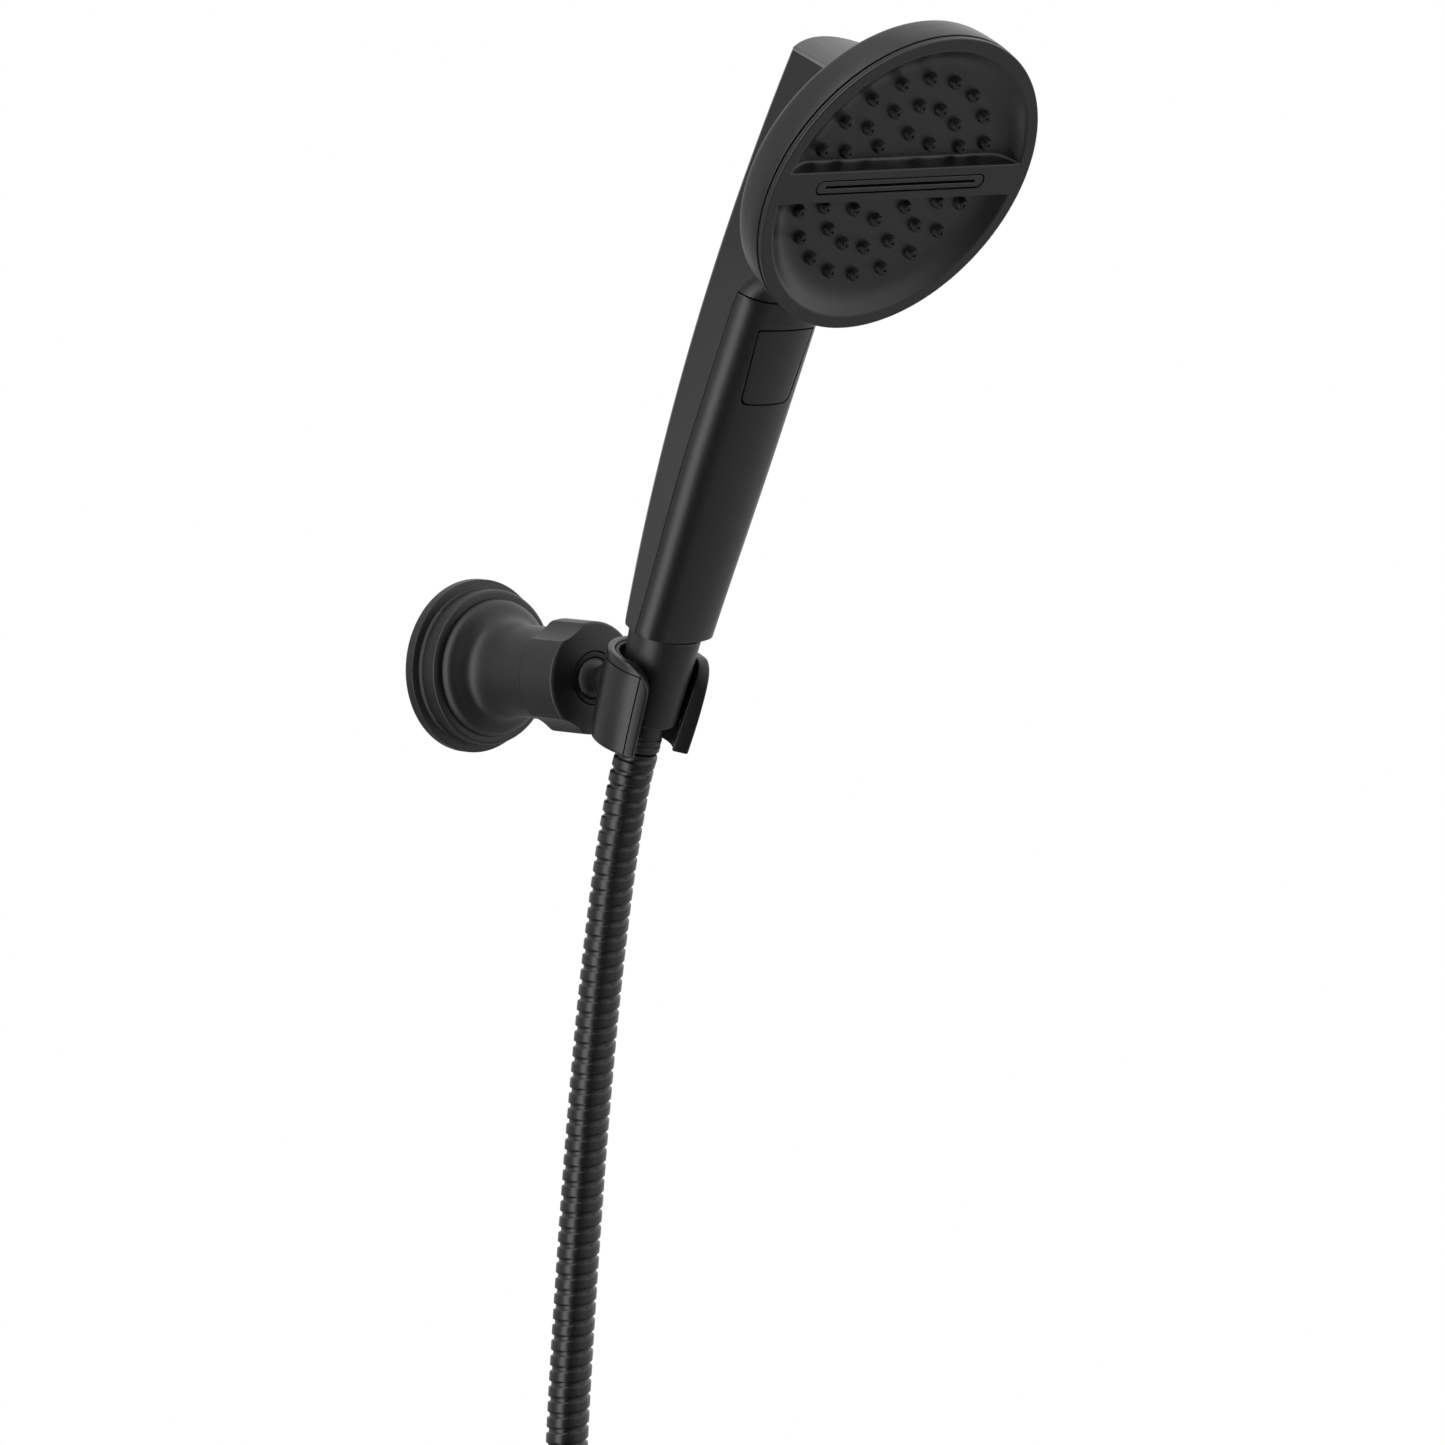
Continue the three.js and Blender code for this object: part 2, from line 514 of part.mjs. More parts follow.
function handle(root) {
  const black = matte(BLACK, 0.45, 0.05);
  const footLean = AXIS_LEAN + 2 * DEGREE;
  const below = leaningSlab(AXIS_Y - 6.5, HANDLE_BOTTOM, footLean, -60);
  const above = leaningSlab(rearY(209), 209.6, TOP_SLOPE, 40);
  const headSpace = placed(new THREE.BoxGeometry(200, 80, 200).translate(0, HEAD_BACK + GAP - 40, 0),
    HEAD_TILT, HEAD_CENTRE);

  const outer = handleSolid(SECTION_FOOT, HANDLE_TOP + 6, 0, 18);
  const inner = handleSolid(SECTION_FOOT - 1, HANDLE_TOP - 12, WALL, 18);
  const body = outer.subtract(inner).subtract(below).subtract(above);
  const panelCut = leaningSlab(frontY(PANEL_TOP), PANEL_TOP - PANEL_DROP, FRONT_LEAN, -150);
  const seamFront = behindSeam(0, 150, 0);
  const panelZone = panelCut.subtract(seamFront);
  const inletBore = rod(INLET_BORE, [0, AXIS_Y, 0], axisPoint(24), 32);
  const tubeHole = rod(HEAD_TUBE_RADIUS + 0.8, headPoint(0, 26, -24), headPoint(0, 0, TUBE_UP), 20);
  const shell = body.subtract(panelZone).subtract(headSpace).subtract(inletBore).subtract(tubeHole);
  part(root, 'rear_shell', shell, black);

  const panelKeep = leaningSlab(frontY(PANEL_TOP), PANEL_TOP - PANEL_DROP - GAP, FRONT_LEAN, -150)
    .subtract(behindSeam(0, 150, -GAP));
  const buttonHole = buttonPrism(GAP, BUTTON_REACH, BUTTON_REACH);
  const panel = body.intersect(panelKeep).subtract(headSpace).subtract(buttonHole).subtract(inletBore);
  part(root, 'handle_panel', panel, black);

  const cap = outer.subtract(handleSolid(80, 150, WALL, 12))
    .intersect(buttonPrism(0, BUTTON_REACH, BUTTON_REACH));
  const stem = placed(new THREE.CylinderGeometry(2.6, 2.6, 6, 16).rotateX(Math.PI / 2)
    .translate(0, BUTTON_LENGTH / 2, -2), Math.PI / 2 + FRONT_LEAN, BUTTON_FOOT);
  part(root, 'mode_button', cap.add(stem), matte(BLACK, 0.42, 0.05));
}

// Point on the leaning axis at a height s along it.
function axisPoint(s) {
  return [0, AXIS_Y - s * Math.sin(AXIS_LEAN), s * Math.cos(AXIS_LEAN)];
}

// Tube of two radii along a smooth path.
function tube(points, outer, inner, segments, steps) {
  const path = new THREE.CatmullRomCurve3(points.map((p) => new THREE.Vector3(...p)));
  const shape = new THREE.Shape();
  shape.absarc(0, 0, outer, 0, 2 * Math.PI);
  if (inner > 0) {
    const hole = new THREE.Path();
    hole.absarc(0, 0, inner, 0, 2 * Math.PI, true);
    shape.holes.push(hole);
  }
  return solid(new THREE.ExtrudeGeometry(shape,
    { steps, extrudePath: path, curveSegments: segments, bevelEnabled: false }));
}

// Water path and diverter valve inside the handle. The valve's group has local Y up the handle and
// local Z out through the button.
function waterway(root) {
  const plastic = matte('#3a3b3d', 0.6, 0);
  const group = new THREE.Group();
  group.position.copy(BUTTON_FOOT);
  group.rotation.x = Math.PI / 2 + FRONT_LEAN;
  root.add(group);
  const middle = BUTTON_LENGTH / 2;
  const block = box([-8, middle - 15, -20.5], [8, middle + 15, -8]);
  const spoolBore = rod(4.2, [0, middle, -17.5], [0, middle, 0], 24);
  const flow = rod(3, [0, middle - 20, -13], [0, middle + 20, -13], 16);
  part(group, 'valve_body', block.subtract(spoolBore).subtract(flow), plastic);
  part(group, 'valve_spool', rod(1.9, [0, middle, -15.2], [0, middle, -5.3], 16),
    matte('#c8c4b8', 0.5, 0));
  const spring = part(group, 'button_spring', ring(2.9, 3.9, -11.5, -4, 20), matte('#b9bcc0', 0.3, 1));
  spring.rotation.x = Math.PI / 2;
  spring.position.set(0, middle, 0);

  const start = axisPoint(30.5);
  const valveIn = valvePoint(middle - 15.4);
  const valveOut = valvePoint(middle + 15.4);
  const lower = [start, axisPoint(38), [0, -119, 68], valvePoint(middle - 22), valveIn];
  part(root, 'supply_tube', tube(lower, 5, 3.4, 4, 9), plastic);
  const backHole = headPoint(0, HEAD_BACK + 1.5, TUBE_UP);
  const upper = [valveOut, valvePoint(middle + 23), headPoint(0, HEAD_BACK + 12, -23), backHole];
  part(root, 'head_tube', tube(upper, HEAD_TUBE_RADIUS, HEAD_TUBE_RADIUS - 1.4, 4, 6), plastic);
}

function valvePoint(s) {
  const depth = -13;
  return [0, BUTTON_FOOT.y - s * Math.sin(FRONT_LEAN) - depth * Math.cos(FRONT_LEAN),
    BUTTON_FOOT.z + s * Math.cos(FRONT_LEAN) - depth * Math.sin(FRONT_LEAN)];
}

// ---- spray head, in a group whose local Y runs back from the face and local Z up it -----------

function headPoint(x, depth, up) {
  const point = new THREE.Vector3(x, depth, up);
  point.applyMatrix4(new THREE.Matrix4().makeRotationX(HEAD_TILT));
  return point.add(HEAD_CENTRE).toArray();
}

// Half-moon outline above the bar, of one outer radius, with its straight side at height low.
function halfMoon(radius, low, corner) {
  const start = Math.asin((low + corner) / radius);
  const points = [];
  const steps = 16;
  for (let i = 0; i <= steps; i++) {
    const angle = THREE.MathUtils.lerp(start, Math.PI - start, i / steps);
    points.push(new THREE.Vector2(radius * Math.cos(angle), radius * Math.sin(angle)));
  }
  const end = Math.sqrt(radius ** 2 - (low + corner) ** 2) - corner;
  points.push(new THREE.Vector2(-end, low), new THREE.Vector2(end, low));
  return points;
}

// Prism of an outline drawn in x and up, between two depths behind the face. Side is +1 as drawn
// and -1 turned upside down.
function facePrism(points, from, to, side) {
  const geometry = new THREE.ExtrudeGeometry(new THREE.Shape(points),
    { depth: to - from, bevelEnabled: false });
  geometry.rotateX(Math.PI / 2);
  geometry.translate(0, to, 0);
  if (side < 0) {
    geometry.rotateY(Math.PI);
  }
  return solid(geometry);
}

// Recess that narrows from the rim to the floor in a concave sweep of steps.
function recess(side) {
  const layers = 4;
  let cut = null;
  for (let i = 0; i < layers; i++) {
    const t = i / (layers - 1);
    const radius = THREE.MathUtils.lerp(RECESS_RADIUS, FLOOR_RADIUS, t);
    const depth = THREE.MathUtils.lerp(0.8, FLOOR_DEPTH, Math.sqrt(t));
    const layer = facePrism(halfMoon(radius, BAR_HALF, MOON_CORNER), -2, depth, side);
    cut = cut ? cut.add(layer) : layer;
  }
  return cut;
}

function stadium(length, width, from, to) {
  const straight = (length - width) / 2;
  const shape = new THREE.Shape();
  shape.absarc(straight, 0, width / 2, -Math.PI / 2, Math.PI / 2);
  shape.absarc(-straight, 0, width / 2, Math.PI / 2, 1.5 * Math.PI);
  const geometry = new THREE.ExtrudeGeometry(shape,
    { depth: to - from, bevelEnabled: false, curveSegments: 6 });
  geometry.rotateX(Math.PI / 2);
  geometry.translate(0, to, 0);
  return solid(geometry);
}

// Rubber mat with its nozzles: side is +1 above the bar and -1 below it.
function nozzleMat(side) {
  const outline = halfMoon(FLOOR_RADIUS - GAP, BAR_HALF + GAP, MOON_CORNER);
  let mat = facePrism(outline, FLOOR_DEPTH, FLOOR_DEPTH + 3, side);
  for (const { radius, angles } of NOZZLE_RINGS) {
    for (const angle of angles) {
      const stub = new THREE.CylinderGeometry(NOZZLE_FOOT, NOZZLE_TIP, NOZZLE_HEIGHT + 1, 7);
      const x = radius * Math.sin(angle * DEGREE);
      const z = side * radius * Math.cos(angle * DEGREE);
      stub.translate(x, FLOOR_DEPTH + 1 - (NOZZLE_HEIGHT + 1) / 2, z);
      mat = mat.add(solid(stub));
    }
  }
  return mat;
}

function sprayHead(root) {
  const group = new THREE.Group();
  group.position.copy(HEAD_CENTRE);
  group.rotation.x = HEAD_TILT;
  root.add(group);
  const black = matte(BLACK, 0.45, 0.05);

  const cup = turned([
    [0, 13.4], [50.6, 13.4], [52, 10.6], [52, 2.6], [HEAD_RADIUS - 0.1, 2.6],
    [HEAD_RADIUS - 0.4, 6], [53.2, 11], [52.4, 14], [51, HEAD_BACK], [0, HEAD_BACK],
  ], 56).subtract(rod(HEAD_TUBE_RADIUS + 0.6, [0, 10, TUBE_UP], [0, 20, TUBE_UP], 20));
  part(group, 'head_housing', cup, black);
  part(group, 'trim_ring', ring(52, HEAD_RADIUS - 0.4, 1.5, 2.3, 48), matte('#141415', 0.4, 0.1));

  const disc = turned([
    [0, 0], [53, 0], [53.9, 0.5], [HEAD_RADIUS - 0.2, 1.2], [51.6, 1.2], [51.6, 10], [0, 10],
  ], 56);
  const matHole = (side) => facePrism(halfMoon(FLOOR_RADIUS, BAR_HALF, MOON_CORNER), 0, 12, side);
  const face = disc.subtract(recess(1)).subtract(recess(-1))
    .subtract(matHole(1)).subtract(matHole(-1)).subtract(stadium(72, 5.4, -1, 12));
  part(group, 'spray_face', face, black);
  const rubber = matte('#161617', 0.65, 0);
  part(group, 'nozzle_mat_upper', nozzleMat(1), rubber);
  part(group, 'nozzle_mat_lower', nozzleMat(-1), rubber);
  const insert = stadium(71.4, 4.8, 0.3, 9.6).subtract(stadium(64, 0.8, -1, 12));
  part(group, 'slot_nozzle', insert, matte('#151516', 0.4, 0.1));

  let plate = turned([[0, 10.3], [49.4, 10.3], [49.4, 11.8], [0, 11.8]], 40);
  for (const x of [-30, 0, 30]) {
    for (const up of [-20, 20]) {
      plate = plate.subtract(rod(4, [x, 9, up], [x, 13, up], 12));
    }
  }
  part(group, 'flow_plate', plate, matte('#3a3b3d', 0.6, 0));
  part(group, 'head_seal', ring(49.8, 50.9, 10.3, 11.9, 40), matte('#202020', 0.9, 0));
}

// ---- hose ---------------------------------------------------------------------------------

// Outer shape of the coil's turns, grown by an amount.
function coilRing(grow) {
  const half = HOSE_DIAMETER / 2 + COIL_GROWTH + grow;
  const side = half;
  const far = -COIL_TURNS * COIL_PITCH - half;
  const inner = COIL_RADIUS - half;
  const outer = COIL_RADIUS + half;
  const bevel = 4;
  const profile = [
    [inner + bevel, side], [outer - bevel, side], [outer, side - bevel], [outer, far + bevel],
    [outer - bevel, far], [inner + bevel, far], [inner, far + bevel], [inner, side - bevel],
  ].map(([radius, x]) => new THREE.Vector2(radius, -x));
  const geometry = new THREE.LatheGeometry([...profile, profile[0].clone()], 40);
  geometry.rotateZ(Math.PI / 2);
  geometry.translate(0, COIL_Y, COIL_Z);
  return solid(geometry);
}

function hose(root) {
  const metal = matte('#1d1d1f', 0.4, 0.7);
  const clear = coilRing(GAP);
  const run = tube(HOSE_POINTS, HOSE_DIAMETER / 2, 0, 3, 30).subtract(clear);
  part(root, 'hose', run, metal);
  part(root, 'hose_coil', coilRing(0), metal);

  const tailX = -COIL_TURNS * COIL_PITCH;
  const tailY = COIL_Y - COIL_RADIUS;
  const tail = rod(HOSE_DIAMETER / 2, [tailX, tailY, COIL_Z + 24], [tailX, tailY, TAIL_TOP], 12);
  part(root, 'hose_tail', tail.subtract(clear), metal);

  const fitting = new THREE.Group();
  fitting.position.set(tailX, tailY, TAIL_TOP + GAP);
  fitting.rotation.x = Math.PI / 2;
  root.add(fitting);
  const nut = turned([
    [7.6, 0], [9, 1], [9.6, 7], [12, 7.6], [12, 19.4], [11.4, 20], [10.2, 20], [10.2, 10],
    [5, 10], [5, 0],
  ], 6, true);
  part(fitting, 'end_nut', nut, matte(BLACK, 0.42, 0.4));
  part(fitting, 'end_washer', ring(5.6, 8, 10.3, 12.3, 24), matte('#202020', 0.9, 0));
  hoseTie(root);
}

// Strap round the lowest part of the coil.
function hoseTie(root) {
  const slack = 0.8;
  const strap = 1.2;
  const halfLength = 5;
  const half = HOSE_DIAMETER / 2 + COIL_GROWTH + slack;
  const low = COIL_Z - COIL_RADIUS - half;
  const high = COIL_Z - COIL_RADIUS + half;
  const left = -COIL_TURNS * COIL_PITCH - half;
  const outer = box([left - strap, COIL_Y - halfLength, low - strap],
    [half + strap, COIL_Y + halfLength, high + strap]);
  const inner = box([left, COIL_Y - 2 * halfLength, low], [half, COIL_Y + 2 * halfLength, high]);
  part(root, 'hose_tie', outer.subtract(inner), matte('#141414', 0.8, 0));
}

// ---- assembly -----------------------------------------------------------------------------

const showerHead = new THREE.Group();
bracket(showerHead);
clampNut(showerHead);
swivel(showerHead);
cradle(showerHead);
hoseNut(showerHead);
handle(showerHead);
waterway(showerHead);
sprayHead(showerHead);
hose(showerHead);

export default showerHead;
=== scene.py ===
# Looks of the handheld shower head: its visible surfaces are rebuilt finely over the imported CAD.
import json
import math
from itertools import product

import bmesh
import bpy
from mathutils import Matrix, Vector


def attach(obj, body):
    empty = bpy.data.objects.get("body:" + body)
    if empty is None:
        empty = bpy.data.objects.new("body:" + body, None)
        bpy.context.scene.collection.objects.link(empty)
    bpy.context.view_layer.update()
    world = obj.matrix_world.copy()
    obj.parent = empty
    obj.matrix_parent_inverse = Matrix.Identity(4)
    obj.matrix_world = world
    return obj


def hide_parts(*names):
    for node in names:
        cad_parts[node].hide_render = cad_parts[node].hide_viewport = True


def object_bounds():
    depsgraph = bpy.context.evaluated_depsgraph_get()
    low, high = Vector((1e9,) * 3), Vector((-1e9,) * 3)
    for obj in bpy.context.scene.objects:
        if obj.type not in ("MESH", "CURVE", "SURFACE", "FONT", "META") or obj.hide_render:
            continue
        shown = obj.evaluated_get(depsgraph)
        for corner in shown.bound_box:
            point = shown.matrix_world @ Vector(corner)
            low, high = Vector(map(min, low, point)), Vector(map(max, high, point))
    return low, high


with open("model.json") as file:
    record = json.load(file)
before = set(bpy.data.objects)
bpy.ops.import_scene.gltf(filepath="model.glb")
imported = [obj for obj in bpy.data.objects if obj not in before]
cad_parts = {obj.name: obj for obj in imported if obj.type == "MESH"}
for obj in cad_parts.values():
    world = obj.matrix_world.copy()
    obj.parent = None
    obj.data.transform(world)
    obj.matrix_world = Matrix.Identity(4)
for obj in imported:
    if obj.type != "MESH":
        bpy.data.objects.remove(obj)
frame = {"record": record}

CAD_BOX = [[float(v) for v in corner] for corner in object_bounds()]
MM = 0.001
DEG = math.pi / 180

# ---- driving sizes, in millimetres, as in the CAD ------------------------------------------------

AXIS_Y = -91.07
AXIS_LEAN = 19.4 * DEG
CRADLE_TOP, CRADLE_BOTTOM = 10.0, -21.0
CRADLE_TOP_RADIUS, CRADLE_BOTTOM_RADIUS = 17.3, 16.2
BORE_TOP, BORE_BOTTOM = 13.5, 10.9
MOUTH = 47 * DEG
MOUTH_CORNER = 9.0
CONE_TOP, CONE_BOTTOM = 19.1, -12.0
FERRULE_BOTTOM = -22.3
HEAD_CENTRE = Vector((0, -209.8, 167))
HEAD_TILT = 30 * DEG
FRONT_LEAN = 25.2 * DEG
TOP_SLOPE = 20 * DEG
BUTTON_FOOT = Vector((0, -144.7, 94.7))
BUTTON_LENGTH = 26.2
HOSE_DIAMETER = 14.0
HOSE_RADIUS = HOSE_DIAMETER / 2
HOSE_POINTS = [
    (0, -83.5, -21.5), (0, -78.9, -34), (0, -72.7, -58), (0, -68, -82), (0, -64, -106),
    (0, -60.6, -130), (0, -57.5, -154.5), (0, -54.8, -178.5), (0, -52.3, -202.7),
    (0, -50, -227), (0, -48, -251), (0, -46.6, -276), (0, -45.8, -302), (0, -45.5, -328),
]
COIL_RADIUS, COIL_Y, COIL_Z = 73.5, -119.0, -352.0
COIL_TURNS, COIL_PITCH = 2.5, 14.4
TAIL_TOP = -300.0

WALL_FRAME = Matrix.Identity(4)
LEAN_FRAME = Matrix.Translation((0, AXIS_Y, 0)) @ Matrix.Rotation(math.pi / 2 + AXIS_LEAN, 4, "X")
HEAD_FRAME = Matrix.Translation(HEAD_CENTRE) @ Matrix.Rotation(HEAD_TILT, 4, "X")
BUTTON_FRAME = Matrix.Translation(BUTTON_FOOT) @ Matrix.Rotation(math.pi / 2 + FRONT_LEAN, 4, "X")


def lerp(a, b, t):
    return a + (b - a) * t


def smoothstep(x, low, high):
    t = min(max((x - low) / (high - low), 0), 1)
    return t * t * (3 - 2 * t)


# ---- camera --------------------------------------------------------------------------------------

CAMERA_PLACE = (-2.5656, -3.0093, 0.3604)    # metres
CAMERA_TILT = 84.518 * DEG
CAMERA_TURN = -41.653 * DEG
CAMERA_LENS = 299


def make_camera():
    """Long lens from the front left, a little above the bracket."""
    data = bpy.data.cameras.new("camera")
    data.sensor_width = 36
    data.lens = CAMERA_LENS
    data.clip_end = 100
    camera = bpy.data.objects.new("camera", data)
    camera.location = CAMERA_PLACE
    camera.rotation_euler = (CAMERA_TILT, 0, CAMERA_TURN)
    bpy.context.scene.collection.objects.link(camera)
    bpy.context.scene.camera = camera


# ---- materials -----------------------------------------------------------------------------------

def finish_material(name, colour, roughness, metallic=0.0, grain=3500, bump=0.35, mottle=0.12,
                    shine=0.5):
    """Painted or moulded surface: fine grain in the bump, slow mottling in colour and gloss."""
    material = bpy.data.materials.new(name)
    material.use_nodes = True
    nodes, links = material.node_tree.nodes, material.node_tree.links
    shader = nodes["Principled BSDF"]
    shader.inputs["Metallic"].default_value = metallic
    shader.inputs["Specular IOR Level"].default_value = shine
    place = nodes.new("ShaderNodeTexCoord")
    slow = nodes.new("ShaderNodeTexNoise")
    slow.inputs["Scale"].default_value = 45
    slow.inputs["Detail"].default_value = 5
    links.new(place.outputs["Object"], slow.inputs["Vector"])
    tint = nodes.new("ShaderNodeValToRGB")
    tint.color_ramp.elements[0].position = 0.3
    tint.color_ramp.elements[1].position = 0.7
    tint.color_ramp.elements[0].color = (*[c * (1 - mottle) for c in colour], 1)
    tint.color_ramp.elements[1].color = (*[c * (1 + mottle) for c in colour], 1)
    links.new(slow.outputs["Fac"], tint.inputs["Fac"])
    links.new(tint.outputs["Color"], shader.inputs["Base Color"])
    fine = nodes.new("ShaderNodeTexNoise")
    fine.inputs["Scale"].default_value = grain
    fine.inputs["Detail"].default_value = 3
    links.new(place.outputs["Object"], fine.inputs["Vector"])
    gloss = nodes.new("ShaderNodeMapRange")
    gloss.inputs["To Min"].default_value = roughness - 0.05
    gloss.inputs["To Max"].default_value = roughness + 0.05
    links.new(fine.outputs["Fac"], gloss.inputs["Value"])
    links.new(gloss.outputs["Result"], shader.inputs["Roughness"])
    relief = nodes.new("ShaderNodeBump")
    relief.inputs["Strength"].default_value = bump
    relief.inputs["Distance"].default_value = 0.00004
    links.new(fine.outputs["Fac"], relief.inputs["Height"])
    links.new(relief.outputs["Normal"], shader.inputs["Normal"])
    return material


BLACK = (0.0058, 0.0058, 0.0061)
MATERIALS = {
    "black_paint": finish_material("satin_black", BLACK, 0.34),
    "metal_black": finish_material("coated_metal", BLACK, 0.4, grain=4200, bump=0.45),
    "hose_metal": finish_material("hose_black", (0.0055, 0.0055, 0.0058), 0.3, grain=2500),
    "steel": finish_material("steel", (0.5, 0.51, 0.52), 0.3, 1.0, mottle=0.05),
    "brass": finish_material("brass", (0.62, 0.45, 0.2), 0.32, 1.0, mottle=0.05),
    "rubber": finish_material("rubber", (0.005, 0.005, 0.0053), 0.5, grain=1800, bump=0.5,
                              shine=0.36),
    "inner_plastic": finish_material("inner_plastic", (0.045, 0.045, 0.047), 0.5),
    "pale_plastic": finish_material("pale_plastic", (0.62, 0.6, 0.55), 0.45),
}


# ---- mesh helpers --------------------------------------------------------------------------------

def make_object(name, verts, faces, place=WALL_FRAME, crease=32):
    """Smooth-shaded mesh object from points in millimetres in a frame."""
    mesh = bpy.data.meshes.new(name)
    mesh.from_pydata([(place @ Vector(v)) * MM for v in verts], [], faces)
    grid = bmesh.new()
    grid.from_mesh(mesh)
    bmesh.ops.remove_doubles(grid, verts=grid.verts, dist=1e-7)
    bmesh.ops.recalc_face_normals(grid, faces=grid.faces)
    grid.to_mesh(mesh)
    grid.free()
    mesh.shade_smooth()
    mesh.set_sharp_from_angle(angle=crease * DEG)
    piece = bpy.data.objects.new(name, mesh)
    bpy.context.scene.collection.objects.link(piece)
    return piece


def settle(piece, slot, body, *nodes):
    """Gives a finished piece its material and its body, and hides the CAD nodes that it stands for.
    """
    piece.data.materials.clear()
    piece.data.materials.append(MATERIALS[slot])
    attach(piece, body)
    if nodes:
        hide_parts(*nodes)
    return piece


def rounded(profile, radii, steps=5):
    """Corners of a closed profile turned into arcs; radii holds one radius for each corner."""
    out = []
    count = len(profile)
    for i, corner in enumerate(profile):
        radius = radii[i] if isinstance(radii, (list, tuple)) else radii
        here = Vector(corner)
        before = Vector(profile[i - 1]) - here
        after = Vector(profile[(i + 1) % count]) - here
        if radius <= 0 or before.length < 1e-6 or after.length < 1e-6:
            out.append(tuple(here))
            continue
        reach = min(radius, 0.45 * before.length, 0.45 * after.length)
        a = here + before.normalized() * reach
        b = here + after.normalized() * reach
        for k in range(steps + 1):
            t = k / steps
            out.append(tuple(a * (1 - t) ** 2 + here * 2 * t * (1 - t) + b * t * t))
    return out


def ring_faces(rings, count, closed_profile):
    """Quads between neighbouring rings of points."""
    faces = []
    for i in range(rings if closed_profile else rings - 1):
        j = (i + 1) % rings
        for k in range(count):
            n = (k + 1) % count
            faces.append((i * count + k, i * count + n, j * count + n, j * count + k))
    return faces


def solid_faces(rings, count):
    """Faces of a closed bar: quads from the first ring to the last, and a cap on each."""
    last = (rings - 1) * count
    caps = [tuple(range(count)), tuple(range(last + count - 1, last - 1, -1))]
    return ring_faces(rings, count, False) + caps


def ring_quads(before, after):
    """Quads between two loops of as many vertex numbers each."""
    count = len(before)
    faces = []
    for k in range(count):
        n = (k + 1) % count
        faces.append((before[k], before[n], after[n], after[k]))
    return faces


def turned(name, profile, radii=0.4, place=WALL_FRAME, segments=128, shape=None, crease=32):
    """Closed profile of (radius, along) points turned about the frame's Y. shape(angle, radius,
    along) may reshape the radius, as scallops do."""
    points = rounded(profile, radii)
    verts = []
    for r, y in points:
        for k in range(segments):
            angle = 2 * math.pi * k / segments
            radius = shape(angle, r, y) if shape else r
            verts.append((radius * math.sin(angle), y, radius * math.cos(angle)))
    return make_object(name, verts, ring_faces(len(points), segments, True), place, crease)


def ball(name, radius, centre, place=WALL_FRAME):
    """Fine ball about a centre."""
    grid = bmesh.new()
    bmesh.ops.create_uvsphere(grid, u_segments=96, v_segments=64, radius=radius)
    verts = [v.co + Vector(centre) for v in grid.verts]
    grid.verts.index_update()
    faces = [tuple(v.index for v in f.verts) for f in grid.faces]
    grid.free()
    return make_object(name, verts, faces, place)


def baked(piece):
    """Replaces a piece's mesh by its mesh with all its modifiers applied."""
    graph = bpy.context.evaluated_depsgraph_get()
    mesh = bpy.data.meshes.new_from_object(piece.evaluated_get(graph))
    piece.modifiers.clear()
    old = piece.data
    piece.data = mesh
    bpy.data.meshes.remove(old)
    return piece


def combine(piece, tools, operation="DIFFERENCE"):
    """Cuts a piece with each tool in turn, or keeps what it shares with them."""
    for tool in tools:
        step = piece.modifiers.new("cut", "BOOLEAN")
        step.operation = operation
        step.solver = "EXACT"
        step.object = tool
    baked(piece)
    return piece


def soften(piece, width, angle=38, segments=3):
    """Rounds the sharp edges of a cut piece."""
    step = piece.modifiers.new("edge", "BEVEL")
    step.width = width * MM
    step.segments = segments
    step.limit_method = "ANGLE"
    step.angle_limit = angle * DEG
    baked(piece)
    piece.data.shade_smooth()
    piece.data.set_sharp_from_angle(angle=40 * DEG)
    return piece


def discard(*objects):
    """Removes tools that have done their cutting."""
    for item in objects:
        mesh = item.data
        bpy.data.objects.remove(item)
        bpy.data.meshes.remove(mesh)


def block(name, low, high, place=WALL_FRAME):
    """Cutting block between two corners."""
    verts = list(product(*zip(low, high)))
    faces = [(0, 1, 3, 2), (4, 6, 7, 5), (0, 4, 5, 1), (2, 3, 7, 6), (0, 2, 6, 4), (1, 5, 7, 3)]
    return make_object(name, verts, faces, place)


# ---- hose ----------------------------------------------------------------------------------------

def smooth_path(points, step):
    """Points one step apart on a smooth curve through the given ones (Catmull-Rom spline)."""
    pts = [Vector(p) for p in points]
    pts = [2 * pts[0] - pts[1]] + pts + [2 * pts[-1] - pts[-2]]
    dense = []
    for i in range(1, len(pts) - 2):
        p0, p1, p2, p3 = pts[i - 1:i + 3]
        count = max(2, int((p2 - p1).length))
        for k in range(count):
            t = k / count
            dense.append(0.5 * ((2 * p1) + (p2 - p0) * t + (2 * p0 - 5 * p1 + 4 * p2 - p3) * t * t
                                + (3 * p1 - p0 - 3 * p2 + p3) * t ** 3))
    dense.append(pts[-2])
    out = [dense[0]]
    ahead = step
    for a, b in zip(dense, dense[1:]):
        span = (b - a).length
        while ahead <= span:
            out.append(a.lerp(b, ahead / span))
            ahead += step
        ahead -= span
    return out


def hose_route():
    """Down from the handset, round the coil, and up to the wall fitting."""
    points = [Vector(p) for p in HOSE_POINTS]
    points.append(Vector((0, COIL_Y + COIL_RADIUS, COIL_Z)))
    per_turn = 36
    for k in range(1, int(COIL_TURNS * per_turn) + 1):
        angle = 2 * math.pi * k / per_turn
        x = -COIL_PITCH * k / per_turn
        y = COIL_Y + COIL_RADIUS * math.cos(angle)
        z = COIL_Z - COIL_RADIUS * math.sin(angle)
        points.append(Vector((x, y, z)))
    last = points[-1]
    for rise in (18, 36, TAIL_TOP - COIL_Z):
        points.append(Vector((last.x, last.y, COIL_Z + rise)))
    return points


